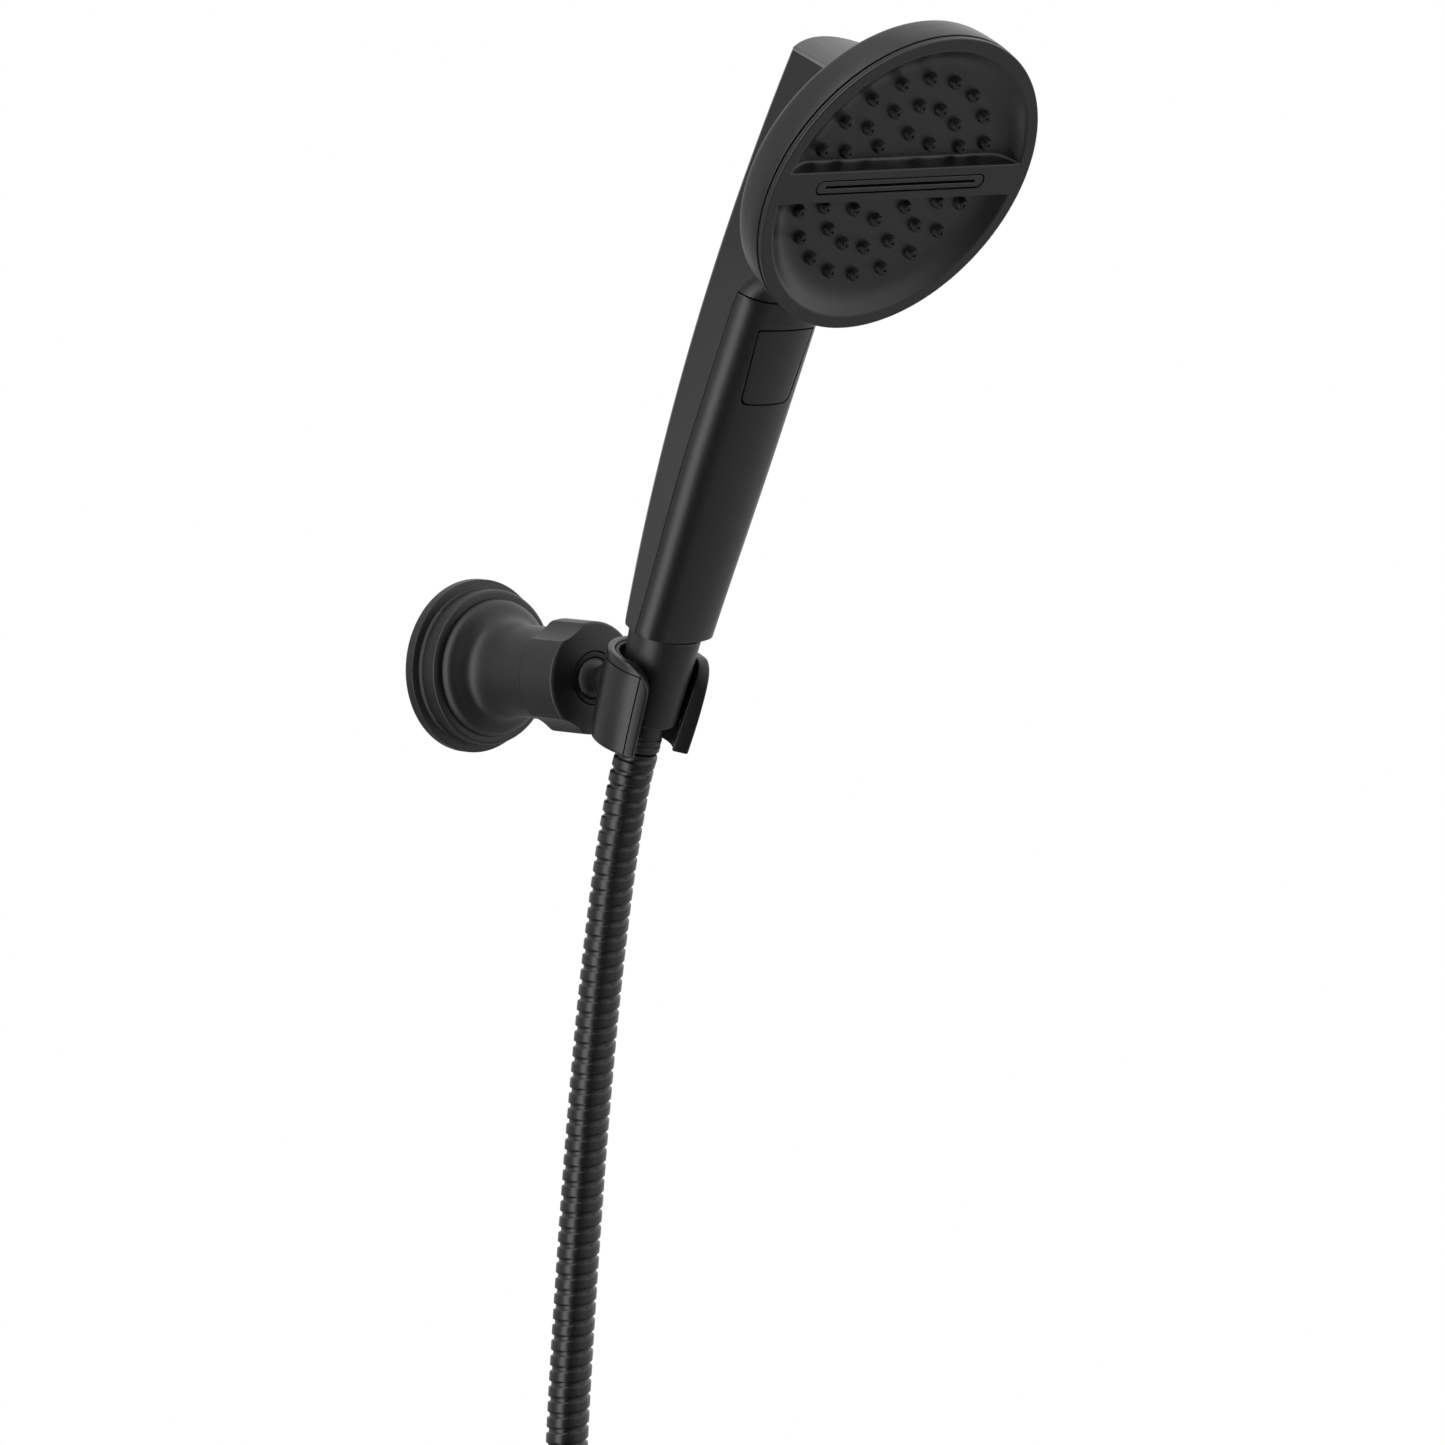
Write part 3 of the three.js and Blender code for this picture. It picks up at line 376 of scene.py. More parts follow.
def hose_radius(phase):
    """Radius over one pitch of the wound strip: a raised band with sloping shoulders."""
    groove, crest = HOSE_RADIUS - 0.8, HOSE_RADIUS
    off_crest = abs(phase - 0.5) * 2
    shoulder = 1 - smoothstep(off_crest, 0.6, 0.76)
    return lerp(groove, crest, shoulder)


def make_hose():
    """The wound hose. Also gives its path and its length, both in metres."""
    pitch = 5.2
    per_pitch = 14
    around = 36
    path = smooth_path(hose_route(), pitch / per_pitch)
    verts = []
    side = Vector((1, 0, 0))
    for i, point in enumerate(path):
        ahead = path[min(i + 1, len(path) - 1)] - path[max(i - 1, 0)]
        ahead.normalize()
        side = (side - ahead * side.dot(ahead)).normalized()
        up = ahead.cross(side)
        for k in range(around):
            angle = 2 * math.pi * k / around
            radius = hose_radius((i / per_pitch - k / around) % 1)
            verts.append(point + radius * (math.cos(angle) * side + math.sin(angle) * up))
    piece = make_object("spiral_hose", verts, solid_faces(len(path), around), crease=50)
    settle(piece, "hose_metal", "hose_end", "hose", "hose_coil", "hose_tail")
    length = (len(path) - 1) * pitch / per_pitch
    return piece, [point * MM for point in path[::per_pitch // 2] + path[-1:]], length * MM


def end_fitting():
    """Nut, collar and strap at the far end of the hose."""
    tail_x = -COIL_TURNS * COIL_PITCH
    tail_y = COIL_Y - COIL_RADIUS
    place = Matrix.Translation((tail_x, tail_y, TAIL_TOP + 0.3))
    place @= Matrix.Rotation(math.pi / 2, 4, "X")
    flat, round_part = 10.4, 11.0

    def hexagon(angle, radius, along):
        if radius < round_part:
            return radius
        sector = (angle + math.pi / 6) % (math.pi / 3) - math.pi / 6
        return min(radius, flat / math.cos(sector))

    nut = turned("end_hex_nut", [
        (7.5, 0), (8.8, 1), (9.4, 7), (11.9, 7.6), (11.9, 19.4), (11.2, 20), (10.2, 20),
        (9.8, 10.2), (5, 10), (5, 0)], 0.3, place, 96, hexagon)
    settle(nut, "metal_black", "hose_end", "end_nut")
    washer = turned("end_rubber_washer", [(5.6, 10.4), (7.9, 10.4), (7.9, 12.3), (5.6, 12.3)],
                    0.3, place, 64)
    settle(washer, "rubber", "hose_end", "end_washer")
    slack, strap_wall, strap_half = 0.9, 1.1, 5
    half = HOSE_RADIUS + slack
    left = tail_x - half
    low = COIL_Z - COIL_RADIUS - half
    high = low + 2 * half
    middle = Vector(((left + half) / 2, low + half))
    verts = []
    outline = rounded([(left, low), (half, low), (half, high), (left, high)], 4, 6)
    for grow, y in ((0, -strap_half), (strap_wall, -strap_half), (strap_wall, strap_half),
                    (0, strap_half)):
        for x, z in outline:
            out = (Vector((x, z)) - middle).normalized() * grow
            verts.append((x + out.x, COIL_Y + y, z + out.y))
    strap = make_object("coil_strap", verts, ring_faces(4, len(outline), True))
    settle(soften(strap, 0.3), "rubber", "hose_end", "hose_tie")
    return nut, washer, strap


# ---- wall bracket --------------------------------------------------------------------------------

def scalloped(angle, radius, along):
    """Radius of the clamp nut with its three finger scallops."""
    cutter, depth, floor = 20.0, 17.1, 15.2
    reach = depth + cutter
    for middle in (90, 210, 330):
        off = angle - middle * DEG
        if math.cos(off) <= 0:
            continue
        under = cutter ** 2 - (reach * math.sin(off)) ** 2
        if under > 0:
            limit = reach * math.cos(off) - math.sqrt(under)
            if limit < radius:
                return max(limit, min(radius, floor))
    return radius


def curve_through(points, step=0.32):
    """Smooth curve through plane points."""
    flat = smooth_path([(a, b, 0) for a, b in points], step)
    return [(p.x, p.y) for p in flat]


def make_bracket():
    """Wall flange, clamp nut and the ball joint in its mouth, all turned about Y."""
    rim = rounded([(26.4, 0), (28.7, 0), (28.7, -3.7), (26.15, -4.0), (26.1, -4.6), (25.75, -5.0),
                   (25.7, -10.8), (24.9, -11.5), (22.6, -11.6)],
                  [0, 0.5, 0.4, 0.2, 0, 0.3, 0.8, 0.8, 0.3])
    neck = curve_through([(22.9, -11.9), (22.7, -12.7), (22.2, -13.8), (21.3, -14.9), (20.1, -15.8),
                          (18.8, -16.6), (17.5, -17.7), (16.5, -19.1), (15.8, -21), (15.4, -23.6),
                          (15.3, -27)])
    inside = [(15.3, -42.3), (13, -42.3), (13, -49.9), (10.9, -49.9), (10.9, -38), (12, -17),
              (22.4, -8), (22.4, -2), (26.4, -2)]
    cover = turned("wall_flange", rim + neck + inside, 0, segments=192, crease=50)
    settle(cover, "metal_black", "bracket", "flange_cover")
    nut = turned("scalloped_nut", [
        (15.6, -42.6), (18.4, -45.6), (18.6, -46.2), (18.6, -61.2), (17.9, -62), (9.0, -62),
        (9.0, -59.5), (10.8, -59.5), (10.8, -50.6), (13.3, -50.6), (13.3, -42.6)],
        [0.3, 0.8, 0.6, 0.6, 0.6, 0.3, 0, 0, 0, 0, 0.2], segments=480, shape=scalloped, crease=28)
    settle(nut, "metal_black", "clamp", "clamp_nut")
    friction = turned("mouth_ring", [
        (8.05, -58.15), (10.4, -58.15), (10.4, -59.15), (8.7, -59.3), (8.7, -61.9), (6.95, -61.9),
        (7.5, -60.6)], [0, 0, 0, 0, 0.35, 0.3, 0.2])
    settle(friction, "rubber", "bracket", "friction_ring")
    settle(ball("pivot_ball", 7.6, (0, -58.2, 0)), "metal_black", "ball", "swivel_ball")
    stud = turned("pivot_stud", [
        (0.02, -65.95), (4.3, -64.5), (4.5, -69), (7, -70.2), (7, -71.7), (3.8, -71.7),
        (3.8, -75.2), (0.02, -75.2)], [0, 0.3, 1.2, 0.4, 0.2, 0, 0.2, 0], segments=96)
    settle(stud, "metal_black", "stud", "ball_stud")


# ---- cradle --------------------------------------------------------------------------------------

LINER_SPACE = 1.4                        # between the clip's wall and the bore
SEAM_TOP = CRADLE_TOP - 3.0
SEAM_ANGLE = 59.4 * DEG
SEAM_STEPS = (-0.3, -0.24, -0.23, 0, 0.23, 0.24, 0.3)
SEAM_HALF, SEAM_CUT = 0.24, 0.8


def cradle_outer(s):
    t = (s - CRADLE_BOTTOM) / (CRADLE_TOP - CRADLE_BOTTOM)
    bulge = 0.5 * math.sin(math.pi * min(max(t, 0), 1))
    return lerp(CRADLE_BOTTOM_RADIUS, CRADLE_TOP_RADIUS, t) + bulge


def cradle_inner(s):
    t = (s - CRADLE_BOTTOM) / (CRADLE_TOP - CRADLE_BOTTOM)
    return lerp(BORE_BOTTOM, BORE_TOP, t)


def mouth_angle(s):
    """Half angle of the cradle's opening at a height, with its rounded upper corners."""
    radius = CRADLE_TOP_RADIUS
    front = radius * math.cos(MOUTH)
    over = s - (CRADLE_TOP - MOUTH_CORNER)
    if over > 0:
        front -= MOUTH_CORNER - math.sqrt(max(MOUTH_CORNER ** 2 - over ** 2, 0))
    return math.acos(min(front / radius, 1))


def fillet(distance, radius):
    """How far a surface drops back near an edge that is rounded to a radius."""
    if distance >= radius:
        return 0.0
    return radius - math.sqrt(max(radius ** 2 - (radius - distance) ** 2, 0))


def seam_groove(off_top, off_side):
    """Depth of the inset seam at distances below its top line and outside its side line."""
    if off_side < -SEAM_HALF or off_top < -SEAM_HALF:
        return 0.0
    return SEAM_CUT if min(abs(off_side), abs(off_top)) < SEAM_HALF else 0.0


def cradle_heights(low, high, rounding):
    """Heights of the cradle's rows: close together at its rounded edges and across the seam."""
    near = [0, 0.06, 0.18, 0.36, 0.6]
    heights = [low + d * rounding for d in near] + [high - d * rounding for d in near]
    heights += [SEAM_TOP + d for d in SEAM_STEPS]
    heights += [lerp(low + rounding, high - rounding, i / 40) for i in range(41)]
    return sorted({round(h, 4) for h in heights if low <= h <= high})


def cradle_angles(start):
    """Angles of one row, from one arm's end to the middle of the back."""
    seam = max(SEAM_ANGLE, start + 0.07)
    unit = 1 / CRADLE_TOP_RADIUS
    near = [start + d * 0.6 * unit for d in (0, 0.1, 0.3, 0.6, 1)]
    first = [lerp(near[-1], seam + SEAM_STEPS[0] * unit, i / 6) for i in range(1, 6)]
    across = [seam + d * unit for d in SEAM_STEPS]
    rest = [lerp(across[-1], math.pi, i / 40) for i in range(1, 41)]
    return near + first + across + rest


def cradle_shell(name, inner, outer, low, high, edge, rounding, grooved):
    """C-shaped wall between two radii, with rounded edges. edge(s) is the half angle at which its
    two arms end. The grooved wall has the seam, and arms that thicken inwards over the liner."""
    heights = cradle_heights(low, high, rounding)
    verts = []
    for s in heights:
        start = edge(s)
        half = cradle_angles(start)
        angles = half + [2 * math.pi - a for a in reversed(half[:-1])]
        from_end = min(s - low, high - s)
        for side in (1, -1):
            for angle in angles:
                folded = min(angle, 2 * math.pi - angle)
                from_edge = min(from_end, (folded - start) * CRADLE_TOP_RADIUS)
                radius = outer(s) if side > 0 else inner(s)
                if grooved and side < 0:
                    radius -= LINER_SPACE * (1 - smoothstep(folded, start + 0.13, start + 0.19))
                radius -= side * fillet(from_edge, rounding)
                if grooved and side > 0:
                    radius -= seam_groove(SEAM_TOP - s, (folded - SEAM_ANGLE) * CRADLE_TOP_RADIUS)
                verts.append((radius * math.sin(angle), s, radius * math.cos(angle)))
    wide = len(verts) // len(heights) // 2
    rows = len(heights) - 1
    level = 2 * wide
    faces = []
    for i in range(rows):
        a, b = i * level, (i + 1) * level
        for k in range(wide - 1):
            faces.append((a + k, a + k + 1, b + k + 1, b + k))
            faces.append((a + wide + k + 1, a + wide + k, b + wide + k, b + wide + k + 1))
        faces.append((a, b, b + wide, a + wide))
        faces.append((a + wide - 1, a + 2 * wide - 1, b + 2 * wide - 1, b + wide - 1))
    top = rows * level
    for k in range(wide - 1):
        faces.append((k, wide + k, wide + k + 1, k + 1))
        faces.append((top + k, top + k + 1, top + wide + k + 1, top + wide + k))
    return make_object(name, verts, faces, LEAN_FRAME, 40)


def make_cradle():
    """The clip with its seam, its boss and the liner in its bore."""
    clip = cradle_shell("clip_body", lambda s: cradle_inner(s) + LINER_SPACE, cradle_outer,
                        CRADLE_BOTTOM, CRADLE_TOP, mouth_angle, 0.6, True)
    settle(clip, "black_paint", "cradle", "cradle_clip")
    neck = turned("clip_boss", [(4.2, 0), (7.9, 0), (7.9, 3.5), (4.2, 3.5)], [0, 0, 0.4, 0.2],
                  Matrix.Translation((0, -75.4, 0)), 96)
    settle(neck, "black_paint", "cradle")
    liner = cradle_shell("clip_liner", cradle_inner, lambda s: cradle_inner(s) + 1.2,
                         CRADLE_BOTTOM + 0.5, CRADLE_TOP - 0.5, lambda s: mouth_angle(s) + 0.22,
                         0.3, False)
    settle(liner, "rubber", "cradle", "cradle_liner")


def make_hose_nut():
    """Conical nut that sits in the cradle, and the grooved collar below it."""
    cone = turned("hose_cone_nut", [
        (10.2, CONE_TOP), (12, CONE_TOP), (10.2, CONE_BOTTOM), (7.3, CONE_BOTTOM), (7.3, 4.6),
        (10.2, 4.6)],
        [0.2, 0.5, 0.8, 0.3, 0, 0], LEAN_FRAME, 160)
    settle(cone, "metal_black", "hose_end", "cone_nut")
    low = FERRULE_BOTTOM
    collar = turned("grooved_collar", [
        (5.3, CONE_BOTTOM - 0.3), (7.0, CONE_BOTTOM - 0.3), (7.0, low + 5.2), (6.6, low + 4.95),
        (6.6, low + 4.6), (7.0, low + 4.35), (7.0, low + 2.9), (6.6, low + 2.65), (6.6, low + 2.3),
        (7.0, low + 2.05), (7.0, low), (5.3, low)],
        [0, 0.4, 0.15, 0.1, 0.1, 0.15, 0.15, 0.1, 0.1, 0.15, 0.5, 0], LEAN_FRAME, 128)
    settle(collar, "metal_black", "hose_end", "hose_ferrule")


# ---- handle --------------------------------------------------------------------------------------

HANDLE_FOOT, HANDLE_TOP = 24, 219
FOOT_LEAN = 21.4 * DEG
TOP_HEIGHT = 209                         # where the sloping top meets the back
PANEL_TOP = 131
PANEL_GAP = 0.3
WALL = 2.2
SEAM_DEPTH = 0.68                        # of the seam behind the front, in half widths
REAR_BOW = 6.5
NECK_DEPTH = 22
HALF_WIDTH = 15.8
REACH = 40                               # past the handle's sides, for the cutting tools


def rear_y(z):
    """Back of the handle at its edges, which curves forward towards the top."""
    return -86.9 - 0.251 * z - 0.000861 * z * z


def front_y(z):
    """Front of the handle: straight up to the neck, then in towards the head."""
    slope = math.tan(FRONT_LEAN) * (z - HANDLE_FOOT)
    return -113.4 - slope - NECK_DEPTH * smoothstep(z, 129, 152)


def rear_half(z):
    return 14 + 0.019 * (z - HANDLE_FOOT)


def side_half(z):
    return HALF_WIDTH + 2 * smoothstep(z, 10, 85)


def seam_y(z):
    return front_y(z) + SEAM_DEPTH * side_half(z)


def flank(seam, corner):
    """Points of a flat side, close together at both ends so that the middle shades flat."""
    seam, corner = Vector(seam), Vector(corner)
    along = (corner - seam).normalized()
    return [tuple(seam + along * 0.5), tuple(seam.lerp(corner, 0.5)),
            tuple(corner - along * 1.8), tuple(corner - along * 1.2)]


def section(z, inset):
    """Level outline of the handle: round the front from one seam to the other, then the back."""
    half = side_half(z) - inset
    front = front_y(z) + inset
    depth = seam_y(z) - front
    corner = 0.62 * half
    crown_angle = 20 * DEG
    corner_x = half - corner
    crown = (corner_x + corner * math.sin(crown_angle)) / math.sin(crown_angle)
    raw = crown - (crown - corner) * math.cos(crown_angle)
    right = []
    corner_steps, crown_steps, bow_steps = 14, 12, 16
    for i in range(corner_steps):
        angle = lerp(math.pi / 2, crown_angle, i / corner_steps)
        x = corner_x + corner * math.sin(angle)
        y = front + (raw - corner * math.cos(angle)) * depth / raw
        right.append((x, y))
    points = list(right)
    for i in range(crown_steps + 1):
        angle = lerp(crown_angle, -crown_angle, i / crown_steps)
        y = crown - crown * math.cos(angle)
        points.append((crown * math.sin(angle), front + y * depth / raw))
    points += [(-x, y) for x, y in reversed(right)]
    back = rear_half(z) - inset
    bow = []
    for i in range(bow_steps + 1):
        t = i / bow_steps
        bow.append((lerp(-back, back, t), rear_y(z) - inset + REAR_BOW * (1 - (2 * t - 1) ** 2)))
    left_side = flank(points[-1], bow[0])
    right_side = flank(points[0], bow[-1])
    return points + left_side + bow[1:-1] + right_side[::-1]


def loft(name, z0, z1, inset, steps):
    """The handle's form between two heights, set in from its surface."""
    verts = []
    for i in range(steps + 1):
        z = lerp(z0, z1, i / steps)
        verts += [(x, y, z) for x, y in section(z, inset)]
    count = len(verts) // (steps + 1)
    return make_object(name, verts, solid_faces(steps + 1, count), crease=40)


def slab(name, y, z, lean, height):
    """Cutting block above or below a leaning plane."""
    place = Matrix.Translation((0, y, z)) @ Matrix.Rotation(lean, 4, "X")
    low = (-REACH, -2 * REACH, min(height, 0))
    return block(name, low, (REACH, 2 * REACH, max(height, 0)), place)


def seam_wall(name, z0, z1, shift):
    """Block of everything behind the seam."""
    count = 24
    heights = [lerp(z0, z1, i / count) for i in range(count + 1)]
    verts = []
    for x in (-30, 30):
        for z in heights:
            verts.append((x, seam_y(z) + shift, z))
        for z in reversed(heights):
            verts.append((x, -30, z))
    total = 2 * (count + 1)
    faces = [(k, (k + 1) % total, total + (k + 1) % total, total + k) for k in range(total)]
    for base in (0, total):
        for k in range(count):
            faces.append((base + k, base + k + 1, base + total - 2 - k, base + total - 1 - k))
    return make_object(name, verts, faces)


def button_prism(name, grow):
    """Outline of the button, grown all round, as a block through the front of the handle."""
    foot, top, through = 9.9 + grow, 11.5 + grow, 12
    low, high = -grow, BUTTON_LENGTH + grow
    arch = [(lerp(-top, top, i / 12), high + 0.6 * (1 - (i / 6 - 1) ** 2)) for i in range(13)]
    radii = [2.6, 2.6, 1.8] + [0] * 11 + [1.8]
    outline = rounded([(-foot, low), (foot, low)] + arch[::-1], radii, 6)
    verts = [(x, y, z) for z in (-through, through) for x, y in outline]
    return make_object(name, verts, solid_faces(2, len(outline)), BUTTON_FRAME)


def crowned_cutter():
    """Block above the handle's sloping top, hollowed so that the top is left crowned."""
    place = Matrix.Translation((0, rear_y(TOP_HEIGHT), TOP_HEIGHT + 0.6))
    place @= Matrix.Rotation(TOP_SLOPE, 4, "X")
    rise, half = 1.7, 15.5
    arch = [(lerp(-half, half, i / 24), rise * (1 - (i / 12 - 1) ** 2)) for i in range(25)]
    outline = [(-REACH, 0)] + arch + [(REACH, 0), (REACH, REACH), (-REACH, REACH)]
    verts = [(x, y, z) for y in (-2 * REACH, 2 * REACH) for x, z in outline]
    return make_object("above", verts, solid_faces(2, len(outline)), place)


def make_handle():
    """Rear shell, front panel and button, all cut from one smooth loft."""
    below = slab("below", AXIS_Y - 6.5, 19, FOOT_LEAN, -60)
    above = crowned_cutter()
    head_space = block("head_space", (-100, -64, -100), (100, 16, 100), HEAD_FRAME)
    inner = loft("inner", 4, 201, WALL, 60)
    bore = turned("bore", [(0.02, -5), (11.7, -5), (11.7, 24), (0.02, 24)], 0, LEAN_FRAME, 64)
    zone_z = PANEL_TOP - 5

    shell = loft("handle_shell", 5, HANDLE_TOP, 0, 96)
    front = slab("front", front_y(PANEL_TOP), zone_z, FRONT_LEAN, -150)
    behind = seam_wall("behind", 0, 150, 0)
    combine(front, [behind])
    combine(shell, [inner, below, above, front, head_space, bore])
    soften(shell, 0.35, 42, 2)
    settle(shell, "black_paint", "handset", "rear_shell")

    panel = loft("front_panel", 5, 150, 0, 64)
    keep = slab("keep", front_y(PANEL_TOP), zone_z - 2 * PANEL_GAP, FRONT_LEAN, -150)
    behind_gap = seam_wall("behind_gap", 0, 150, -PANEL_GAP)
    combine(keep, [behind_gap])
    combine(panel, [keep], "INTERSECT")
    hole = button_prism("hole", 0.4)
    combine(panel, [inner, below, head_space, hole, bore])
    soften(panel, 0.25, 42, 2)
    settle(panel, "black_paint", "handset", "handle_panel")

    cap = loft("push_button", 80, 140, 0, 40)
    core = loft("core", 70, 150, WALL, 40)
    prism = button_prism("prism", -0.15)
    combine(cap, [core])
    combine(cap, [prism], "INTERSECT")
    soften(cap, 0.2, 42, 3)
    settle(cap, "black_paint", "button", "mode_button")
    discard(below, above, head_space, inner, bore, front, behind, keep, behind_gap, hole, core,
            prism)


# ---- spray head ----------------------------------------------------------------------------------

FACE_RADIUS = 53.0
FACE_EDGE = 54.05
FACE_BACK = 51.5
RECESS_RADIUS = 49.6
COVE, STEP = 10.4, 1.9                   # widths of the recess walls at the rim and at the bar
FLOOR = 5.5
BAR = 5.6                                # half of the bar's width
SLOT_LENGTH, SLOT_WIDTH = 72, 5.4


def soft_min(a, b, k):
    """The smaller value, blended where the two are within k of each other."""
    h = max(k - abs(a - b), 0) / k
    return min(a, b) - h * h * k / 4


def face_depth(x, up):
    """Depth of the face: two half-moon recesses with a coved rim and a steep wall at the bar."""
    rim = RECESS_RADIUS - math.hypot(x, up)
    bar = abs(up) - BAR
    t = min(rim / COVE, 1)
    from_rim = FLOOR * (1 - (1 - t) ** 1.75) if t > 0 else 0.93 * rim
    t = min(bar / STEP, 1)
    from_bar = FLOOR * (1 - (1 - t) ** 2) if t > 0 else 4 * bar
    depth = soft_min(from_rim, from_bar, 2.6)
    return -soft_min(-depth, 0, 0.5)


def stadium(length, width, steps=16):
    """Outline with straight sides and round ends."""
    straight = (length - width) / 2
    points = []
    for side in (1, -1):
        for i in range(steps + 1):
            angle = lerp(-math.pi / 2, math.pi / 2, i / steps)
            points.append((side * (straight + width / 2 * math.cos(angle)),
                           side * width / 2 * math.sin(angle)))
    return points


def face_lines():
    """Heights of the grid lines across the face: close together at the bar's walls and the rim."""
    start = BAR + 3.2
    half = [BAR * i / 6 for i in range(6)]
    half += [lerp(BAR - 0.35, start, i / 22) for i in range(23)]
    half += [start + (FACE_RADIUS - start) * math.sin(math.pi / 2 * i / 70) for i in range(1, 71)]
    return sorted({round(side * h, 5) for h in half for side in (1, -1)})


def make_face():
    """Grid over the disc, with lines along the bar, then the rounded rim and the back."""
    columns = 240
    lines = face_lines()
    rows = len(lines)
    verts = []
    for up in lines:
        reach = math.sqrt(max(FACE_RADIUS ** 2 - up ** 2, 0.04))
        for k in range(columns + 1):
            x = reach * math.sin(math.pi / 2 * (2 * k / columns - 1))
            verts.append((x, face_depth(x, up), up))
    wide = columns + 1
    faces = []
    for i in range(rows - 1):
        for k in range(columns):
            a = i * wide + k
            faces.append((a, a + 1, a + 1 + wide, a + wide))
    loop = [i * wide + columns for i in range(rows)]
    loop += [(rows - 1) * wide + k for k in range(columns - 1, 0, -1)]
    loop += [i * wide for i in range(rows - 1, -1, -1)]
    loop += list(range(1, columns))
    edge = [(verts[i][0], verts[i][2]) for i in loop]
    rim = rounded([(FACE_RADIUS, 0), (FACE_EDGE, 0), (FACE_EDGE, 1.2), (FACE_BACK, 1.2)],
                  [0, 0.7, 0.25, 0], 6)[1:]
    before = loop
    for radius, depth in rim + [(FACE_BACK, 9.8)]:
        start = len(verts)
        for x, up in edge:
            grow = radius / math.hypot(x, up)
            verts.append((x * grow, depth, up * grow))
        after = list(range(start, start + len(edge)))
        faces += ring_quads(before, after)
        before = after
    faces.append(tuple(before))
    face = make_object("spray_plate", verts, faces, HEAD_FRAME, 60)
    outline = stadium(SLOT_LENGTH, SLOT_WIDTH)
    tool_verts = [(x, y, z) for y in (-2, 4) for x, z in outline]
    tool = make_object("slot_tool", tool_verts, solid_faces(2, len(outline)), HEAD_FRAME)
    combine(face, [tool])
    discard(tool)
    face.data.shade_smooth()
    face.data.set_sharp_from_angle(angle=60 * DEG)
    settle(face, "black_paint", "handset", "spray_face")


def make_slot():
    """Insert in the bar with its fine slit."""
    rows = [(71.1, 4.5, 3.5), (71.1, 4.5, 0.35), (70.9, 4.3, 0.1), (70.6, 4.0, 0.0),
            (64.4, 1.3, 0.0), (64.1, 1.0, 0.15), (64, 0.95, 3.0), (63.6, 0.4, 3.0)]
    verts = []
    for length, width, depth in rows:
        verts += [(x, depth, z) for x, z in stadium(length, width)]
    faces = solid_faces(len(rows), len(verts) // len(rows))
    insert = make_object("slot_insert", verts, faces, HEAD_FRAME)
    settle(insert, "black_paint", "handset", "slot_nozzle")


# Each ring's radius, and the angles of its nozzles from the middle of its half moon.
NOZZLE_RINGS = (
    (16, (-43, 0, 43)),
    (26.4, (-67, -44.5, -22, 0, 22, 44.5, 67)),
    (36.5, (-72, -54, -36, -18, 0, 18, 36, 54, 72)),
)


def make_nozzles(side, name, node):
    """Rubber stubs of one half, each with its fine hole and a foot that flares into the mat."""
    profile = [(2.9, FLOOR + 0.5), (2.75, FLOOR + 0.02), (2.45, FLOOR - 0.25), (2.3, FLOOR - 0.7),
               (1.85, FLOOR - 2.55), (1.7, FLOOR - 2.8), (1.45, FLOOR - 2.9), (0.62, FLOOR - 2.9),
               (0.45, FLOOR - 2.75), (0.42, FLOOR - 1.6), (0.05, FLOOR - 1.6)]
    around = 32
    verts, faces = [], []
    for radius, angles in NOZZLE_RINGS:
        for angle in angles:
            x0 = radius * math.sin(angle * DEG)
            up0 = side * radius * math.cos(angle * DEG)
            base = len(verts)
            for r, y in profile:
                for k in range(around):
                    turn = 2 * math.pi * k / around
                    verts.append((x0 + r * math.sin(turn), y, up0 + r * math.cos(turn)))
            faces += [tuple(base + i for i in f) for f in solid_faces(len(profile), around)]
    settle(make_object(name, verts, faces, HEAD_FRAME, 40), "rubber", "handset", node)


def make_head():
    """Back of the head, the ring in its seam, and the face with all that sits in it."""
    housing = turned("head_shell", [
        (52.1, 2.55), (54.1, 2.55), (54.0, 6), (53.3, 11), (52.6, 14), (50.6, 15.7), (0.05, 15.7),
        (0.05, 13.6), (50.6, 13.4), (52.1, 10.6)],
        [0.1, 0.3, 2, 2, 1.2, 1.5, 0, 0, 0, 0], HEAD_FRAME, 256, crease=50)
    settle(housing, "black_paint", "handset", "head_housing")
    ring = turned("head_seam_ring", [(52, 1.45), (53.75, 1.45), (53.75, 2.3), (52, 2.3)],
                  [0, 0.2, 0.2, 0], HEAD_FRAME, 256)
    settle(ring, "black_paint", "handset", "trim_ring")
    make_face()
    make_slot()
    make_nozzles(1, "nozzles_upper", "nozzle_mat_upper")
    make_nozzles(-1, "nozzles_lower", "nozzle_mat_lower")


# ---- finish of the CAD nodes that stay -----------------------------------------------------------

def dress_cad_nodes():
    """Gives every CAD node that stays visible the finish of its slot."""
    slots = {part["node"]: part["material_slot"] for part in frame["record"]["subparts"]}
    for name, slot in slots.items():
        node = bpy.data.objects[name]
        for i in range(len(node.material_slots)):
            node.material_slots[i].material = MATERIALS[slot]


# ---- studio --------------------------------------------------------------------------------------

def soft_box(name, place, aim, size, power):
    """Square or oblong lamp that faces a point, in metres and watts."""
    data = bpy.data.lights.new(name, "AREA")
    data.shape = "RECTANGLE"
    data.size, data.size_y = size
    data.energy = power
    lamp = bpy.data.objects.new(name, data)
    lamp.location = place
    lamp.rotation_euler = (Vector(aim) - Vector(place)).to_track_quat("-Z", "Y").to_euler()
    bpy.context.scene.collection.objects.link(lamp)


VIEW_SIDE = Vector((-0.663, -0.748, 0))   # level direction from the object to the camera
VIEW_LEFT = Vector((-0.748, 0.663, 0))
